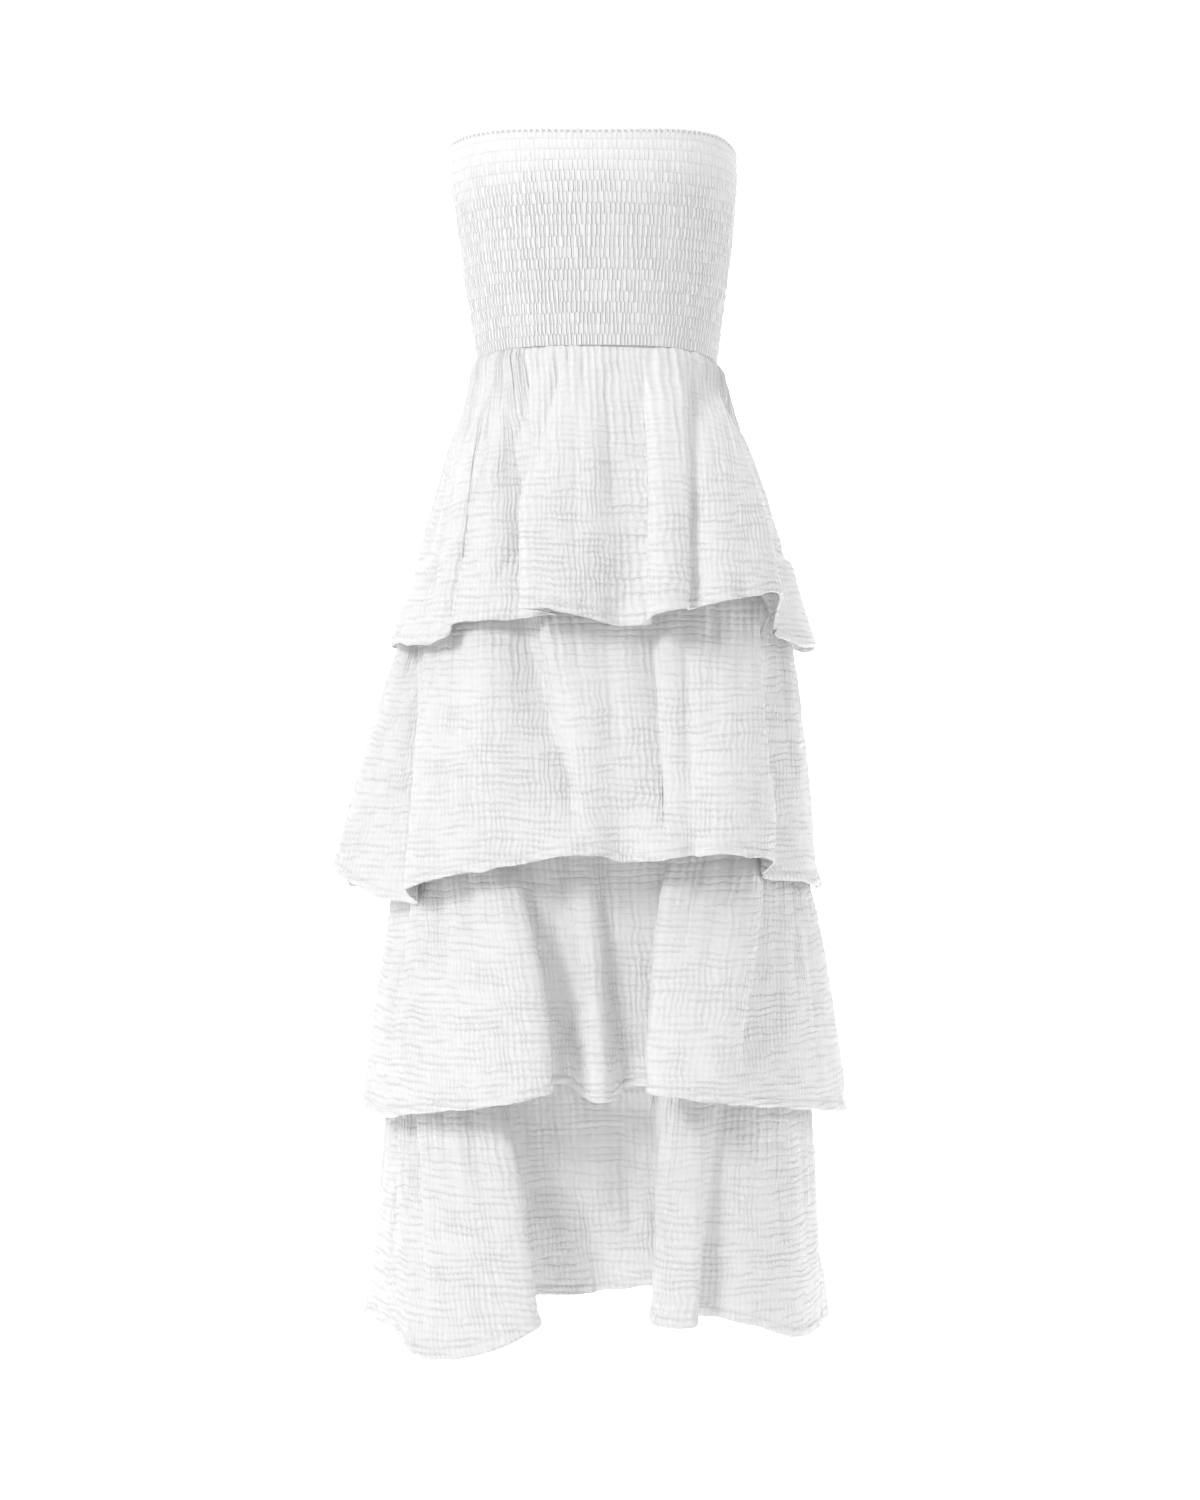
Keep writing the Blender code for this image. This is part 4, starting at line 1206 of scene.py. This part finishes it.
def crinkle_rise(u, v, down, seed):
    """Crinkle: long low ridges across the cloth, broken by short ones down it."""
    bend = 0.8 * value_noise(u / 0.090, v / 0.060, seed + 4)
    across = creased(value_noise(u / 0.038, v / 0.0085 + bend, seed + 5), 0.34)
    ribs = creased(value_noise(u / 0.0095 + 0.5 * bend, v / 0.035, seed + 7), 0.40)
    ease = 0.55 + 0.45 * smooth_step(0.1, 0.6, down)
    return bpy.context.scene.dress_cloth.crinkle_height * (across * ease + 0.55 * ribs)


def hem_rise_and_band(u, up, depth, seed):
    """The hem, turned up twice and stitched: a thicker band with a groove along its stitching."""
    band = 1.0 - smooth_step(depth - HEM_SOFTNESS, depth + HEM_SOFTNESS, up)
    groove = np.exp(-(((up - depth) / HEM_LINE_WIDTH) ** 2))
    wave = value_noise(u / 0.016, up / 0.012, seed + 8)
    pull = value_noise(u / 0.0065, up / 0.006, seed + 9)
    near_hem = 1.0 - smooth_step(depth, depth * 3.0, up)
    rise = HEM_THICKER * band - HEM_GROOVE * groove
    rise = rise + HEM_WAVES * wave * near_hem
    return rise + HEM_TUGS * pull * near_hem, band


def make_tier(tier, number):
    """A gathered tier of gauze, front and back: gathers, listed creases, crinkle and a turned hem."""
    dress = bpy.context.scene.dress_cloth
    columns, seed = TIER_COLUMNS, 40 * number
    mean_length = tier.seam_z - sum(fold.height for fold in tier.front) / len(tier.front)
    hem_start = 1.0 - dress.hem_depth * HEM_SPAN / mean_length
    downs = np.concatenate([
        np.linspace(0.0, hem_start, TIER_ROWS, endpoint=False),
        np.linspace(hem_start, 1.0, HEM_ROWS + 1),
    ])
    grid, room, degrees, along, side, whole = tier_surface(tier, columns, downs)
    distance, clear = from_side_seam(along, side, whole)
    down, u = downs[:, None], along[None, :]
    length = (tier.seam_z - grid[-1, :, 2])[None, :]
    v = length * down
    up = length * (1.0 - down)

    gathers = gathered_rise(tier, degrees, along, whole, downs, clear, seed)
    coarse = grid + tube_normals(grid) * gathers[..., None]
    coarse[..., 2] = grid[..., 2]
    # Nothing lies under the lowest tier once it is past the underskirt's hem
    past_hem = UNDERSKIRT_HEM_Z - FREE_BELOW_UNDERSKIRT - coarse[..., 2]
    free = FREE_HEM_SLACK * smooth_step(0.0, 0.05, past_hem)
    coarse[1:] = resting_outside(coarse[1:], (room - REST_SLACK - free)[1:])
    normals = tube_normals(coarse)

    crinkle = crinkle_rise(u, v, down, seed)
    hem_rise, band = hem_rise_and_band(u, up, dress.hem_depth, seed)
    rise = CLOTH / 2 + (crinkle - dress.crinkle_height * 0.9) * (1 - 0.45 * band) + hem_rise
    rise = rise - HEM_EDGE_ROUND * np.exp(-((up / HEM_LINE_WIDTH) ** 2))

    # Side seams pull the cloth in by a hair and pucker it
    pucker = 0.5 + 0.5 * np.cos(2 * np.pi * v / SEAM_PUCKER_PITCH)
    seam_line = np.exp(-((distance / SEAM_LINE_WIDTH) ** 2))[None, :]
    beside = np.exp(-(((distance - SEAM_PUCKER_OFF) / SEAM_PUCKER_WIDTH) ** 2))[None, :]
    rise = rise * (1 - 0.6 * seam_line) - SEAM_SINK * seam_line + SEAM_PUCKER_RISE * beside * pucker
    outer = coarse + normals * rise[..., None]
    inner_rise = -CLOTH / 2 - INNER_SLACK - HEM_THICKER * band - 0.5 * np.maximum(-hem_rise, 0)
    inner = (coarse + normals * inner_rise[..., None])[::INSIDE_EVERY]
    drop = HEM_WAVES * value_noise(along / 0.015, 0.5, seed + 10)
    drop = drop + HEM_TUGS * value_noise(along / 0.0062, 0.5, seed + 11)
    for skin in (outer, inner):
        skin[-1, :, 2] += drop
        skin[0, :, 2] = grid[0, :, 2]

    cloth = np.stack(np.broadcast_arrays(u, v), axis=-1)
    finish = finish_of("crinkled_double_gauze")
    ends = {"front": side, "back": whole}
    for half, column_set in half_columns(columns):
        uv = cloth[:, column_set].copy()
        uv[:, -1, 0] = ends[half]
        skins = outer[:, column_set], inner[:, column_set]
        piece = wall_piece(f"{tier.name}_{half}_gauze", *skins, uv, uv[::INSIDE_EVERY], finish)
        settle(piece, f"{tier.name}_{half}")
    stitched = len(downs) - 1 - round(HEM_ROWS / HEM_SPAN)
    line = outer[stitched] + normals[stitched] * STITCH_LIFT
    thread = sew(f"{tier.name}_hem_stitches", [closed(line)])


class DressClothSettings(bpy.types.PropertyGroup):
    """Sizes and colour of the cloth, and the grey of its painted shade."""

    white: bpy.props.StringProperty(
        name="Gauze White", description="sRGB hex colour of the gauze", default="#F6F6F6"
    )
    # Painted shade: the grey mixed into the cloth's colour in its creases, grooves, pucker valleys and sunk
    # stitches
    crease: bpy.props.StringProperty(
        name="Crease Grey", description="sRGB hex colour deep in the creases", default="#DEDEDE"
    )
    crinkle_height: bpy.props.FloatProperty(
        name="Crinkle Height", description="Rise of a puff over its creases", default=0.0009,
        min=0.0, max=0.003, unit="LENGTH", precision=4,
    )
    crinkle_relief: bpy.props.FloatProperty(
        name="Fine Relief", description="Depth of the finest creases", default=0.0012,
        min=0.0, max=0.002, unit="LENGTH", precision=4,
    )
    hem_depth: bpy.props.FloatProperty(
        name="Hem Depth", description="Width of the turned hem of a tier", default=0.0085,
        min=0.004, max=0.02, unit="LENGTH", precision=4,
    )
    pucker_width: bpy.props.FloatProperty(
        name="Pucker Width", description="Width of one pleat on the elastic thread", default=0.0046,
        min=0.003, max=0.012, unit="LENGTH", precision=4,
    )
    puff_height: bpy.props.FloatProperty(
        name="Puff Height", description="Rise of the cloth between two rows of elastic", default=0.0019,
        min=0.0, max=0.005, unit="LENGTH", precision=4,
    )
    shirring_fullness: bpy.props.FloatProperty(
        name="Shirring Fullness", description="Cut width of the bodice over its drawn-up width",
        default=1.35, min=1.2, max=2.5,
    )


class DressSewingSettings(bpy.types.PropertyGroup):
    """Sizes of the stitching."""

    stitch_pitch: bpy.props.FloatProperty(
        name="Stitch Pitch", description="From one stitch to the next", default=0.0036,
        min=0.001, max=0.01, unit="LENGTH", precision=4,
    )
    stitch_length: bpy.props.FloatProperty(
        name="Stitch Length", description="Length of thread that shows in one stitch", default=0.0025,
        min=0.0005, max=0.008, unit="LENGTH", precision=4,
    )
    thread_width: bpy.props.FloatProperty(
        name="Thread Width", description="Width of the sewing thread", default=0.00045,
        min=0.0002, max=0.002, unit="LENGTH", precision=5,
    )


class DressStageSettings(bpy.types.PropertyGroup):
    """Camera and light."""

    camera_distance: bpy.props.FloatProperty(
        name="Camera Distance", description="From the lens to the middle of the dress", default=3.6,
        min=1.0, max=10.0, unit="LENGTH",
    )
    eye_height: bpy.props.FloatProperty(
        name="Eye Height", description="Height of the lens in the dress's frame", default=-0.5535,
        min=-3.0, max=3.0, unit="LENGTH",
    )
    focal_length: bpy.props.FloatProperty(
        name="Focal Length", description="Lens on a 36 mm sensor, in millimetres", default=86.4,
        min=20.0, max=300.0,
    )
    floor_drop: bpy.props.FloatProperty(
        name="Floor Drop", description="From the lowest hem down to the floor", default=0.220,
        min=0.0, max=1.0, unit="LENGTH",
    )


class DressBodiceMake(bpy.types.Operator):
    """Make the shirred bodice, front and back, with its rows of thread"""

    bl_idname = "dress.make_bodice"
    bl_label = "Shirred Bodice"

    def execute(self, context):
        make_bodice()
        return {"FINISHED"}


class DressUnderskirtMake(bpy.types.Operator):
    """Make the plain underskirt, front and back"""

    bl_idname = "dress.make_underskirt"
    bl_label = "Underskirt"

    def execute(self, context):
        make_underskirt()
        return {"FINISHED"}


class DressTierMake(bpy.types.Operator):
    """Make one gathered tier, front and back, with its hem stitches"""

    bl_idname = "dress.make_tier"
    bl_label = "Gathered Tier"

    number: bpy.props.IntProperty(
        name="Tier", description="Which tier, counted from the waist", default=1, min=1, max=4
    )

    def execute(self, context):
        make_tier(TIERS[self.number - 1], self.number)
        return {"FINISHED"}


class DressStageMake(bpy.types.Operator):
    """Make the pale floor, the studio lights and the camera"""

    bl_idname = "dress.make_stage"
    bl_label = "Stage"

    def execute(self, context):
        make_stage()
        return {"FINISHED"}


class DressPanel(bpy.types.Panel):
    """The dress's pieces and settings in the sidebar"""

    bl_idname = "VIEW3D_PT_dress"
    bl_label = "Tiered Maxi Dress"
    bl_space_type = "VIEW_3D"
    bl_region_type = "UI"
    bl_category = "Dress"

    def draw(self, context):
        layout = self.layout
        for settings in (context.scene.dress_cloth, context.scene.dress_sewing, context.scene.dress_stage):
            for name in settings.__annotations__:
                layout.prop(settings, name)
        layout.operator(DressBodiceMake.bl_idname)
        layout.operator(DressUnderskirtMake.bl_idname)
        for number in range(1, len(TIERS) + 1):
            layout.operator(DressTierMake.bl_idname, text=f"Tier {number}").number = number
        layout.operator(DressStageMake.bl_idname)


def painted_backdrop(name, colour):
    """Matt emulsion on a smooth studio sweep, rolled on: no gloss and no texture that shows."""
    material = bpy.data.materials.new(name)
    material.use_nodes = True
    shader = material.node_tree.nodes["Principled BSDF"]
    shader.inputs["Base Color"].default_value = linear(colour)
    shader.inputs["Roughness"].default_value = 0.95
    shader.inputs["Specular IOR Level"].default_value = 0.0
    return material


def hang_softbox(box):
    """One soft light, turned to the point that it looks at."""
    light = bpy.data.lights.new(box.name, "AREA")
    light.shape = "RECTANGLE"
    light.size, light.size_y = box.size
    light.energy = box.power
    light.spread = math.radians(box.spread)
    lamp = bpy.data.objects.new(box.name, light)
    lamp.location = box.place
    lamp.rotation_euler = (Vector(box.target) - Vector(box.place)).to_track_quat("-Z", "Y").to_euler()
    bpy.context.scene.collection.objects.link(lamp)


def make_sweep(low):
    """A plain pale sweep: a floor at the given height that bends up into a wall behind the dress."""
    radius = SWEEP_BEND_RADIUS
    profile = [(SWEEP_FRONT_Y, 0.0), (SWEEP_BEND_Y, 0.0)]
    for part in range(1, SWEEP_BEND_PARTS + 1):
        turn = math.pi / 2 * part / SWEEP_BEND_PARTS
        profile.append((SWEEP_BEND_Y + radius * math.sin(turn), radius - radius * math.cos(turn)))
    profile.append((SWEEP_BEND_Y + radius, SWEEP_HEIGHT))
    points = [(x, y, low + z) for y, z in profile for x in (-SWEEP_HALF_WIDTH, SWEEP_HALF_WIDTH)]
    faces = [(2 * i, 2 * i + 1, 2 * i + 3, 2 * i + 2) for i in range(len(profile) - 1)]
    mesh = bpy.data.meshes.new("studio_sweep")
    mesh.from_pydata(points, [], faces)
    mesh.shade_smooth()
    mesh.materials.append(painted_backdrop("matt_white_emulsion", "#FAFAFA"))
    sweep = bpy.data.objects.new("studio_sweep", mesh)
    bpy.context.scene.collection.objects.link(sweep)


def make_stage():
    """The sweep, soft light from the viewer's left and the camera of the photograph."""
    scene, stage = bpy.context.scene, bpy.context.scene.dress_stage
    make_sweep(CAD_BOX[0].z - stage.floor_drop)
    for box in SOFTBOXES:
        hang_softbox(box)

    world = bpy.data.worlds.new("studio_white")
    world.use_nodes = True
    background = world.node_tree.nodes["Background"]
    background.inputs["Color"].default_value = (1.0, 1.0, 1.0, 1.0)
    background.inputs["Strength"].default_value = WORLD_STRENGTH
    scene.world = world
    scene.view_settings.view_transform = "Standard"

    data = bpy.data.cameras.new("photo_camera")
    data.lens = stage.focal_length
    data.sensor_width = 36.0
    data.clip_end = 50.0
    camera = bpy.data.objects.new("photo_camera", data)
    camera.location = (CAMERA_X, -stage.camera_distance, stage.eye_height)
    camera.rotation_euler = (math.pi / 2, 0.0, 0.0)
    scene.collection.objects.link(camera)
    scene.camera = camera


CLASSES = (
    DressClothSettings,
    DressSewingSettings,
    DressStageSettings,
    DressBodiceMake,
    DressUnderskirtMake,
    DressTierMake,
    DressStageMake,
    DressPanel,
)


def register():
    for cls in CLASSES:
        bpy.utils.register_class(cls)
    bpy.types.Scene.dress_cloth = bpy.props.PointerProperty(type=DressClothSettings)
    bpy.types.Scene.dress_sewing = bpy.props.PointerProperty(type=DressSewingSettings)
    bpy.types.Scene.dress_stage = bpy.props.PointerProperty(type=DressStageSettings)


def unregister():
    del bpy.types.Scene.dress_stage
    del bpy.types.Scene.dress_sewing
    del bpy.types.Scene.dress_cloth
    for cls in reversed(CLASSES):
        bpy.utils.unregister_class(cls)


def main():
    register()
    bpy.ops.dress.make_bodice()
    bpy.ops.dress.make_underskirt()
    for number in range(1, len(TIERS) + 1):
        bpy.ops.dress.make_tier(number=number)
    bpy.ops.dress.make_stage()


if __name__ == "__main__":
    main()
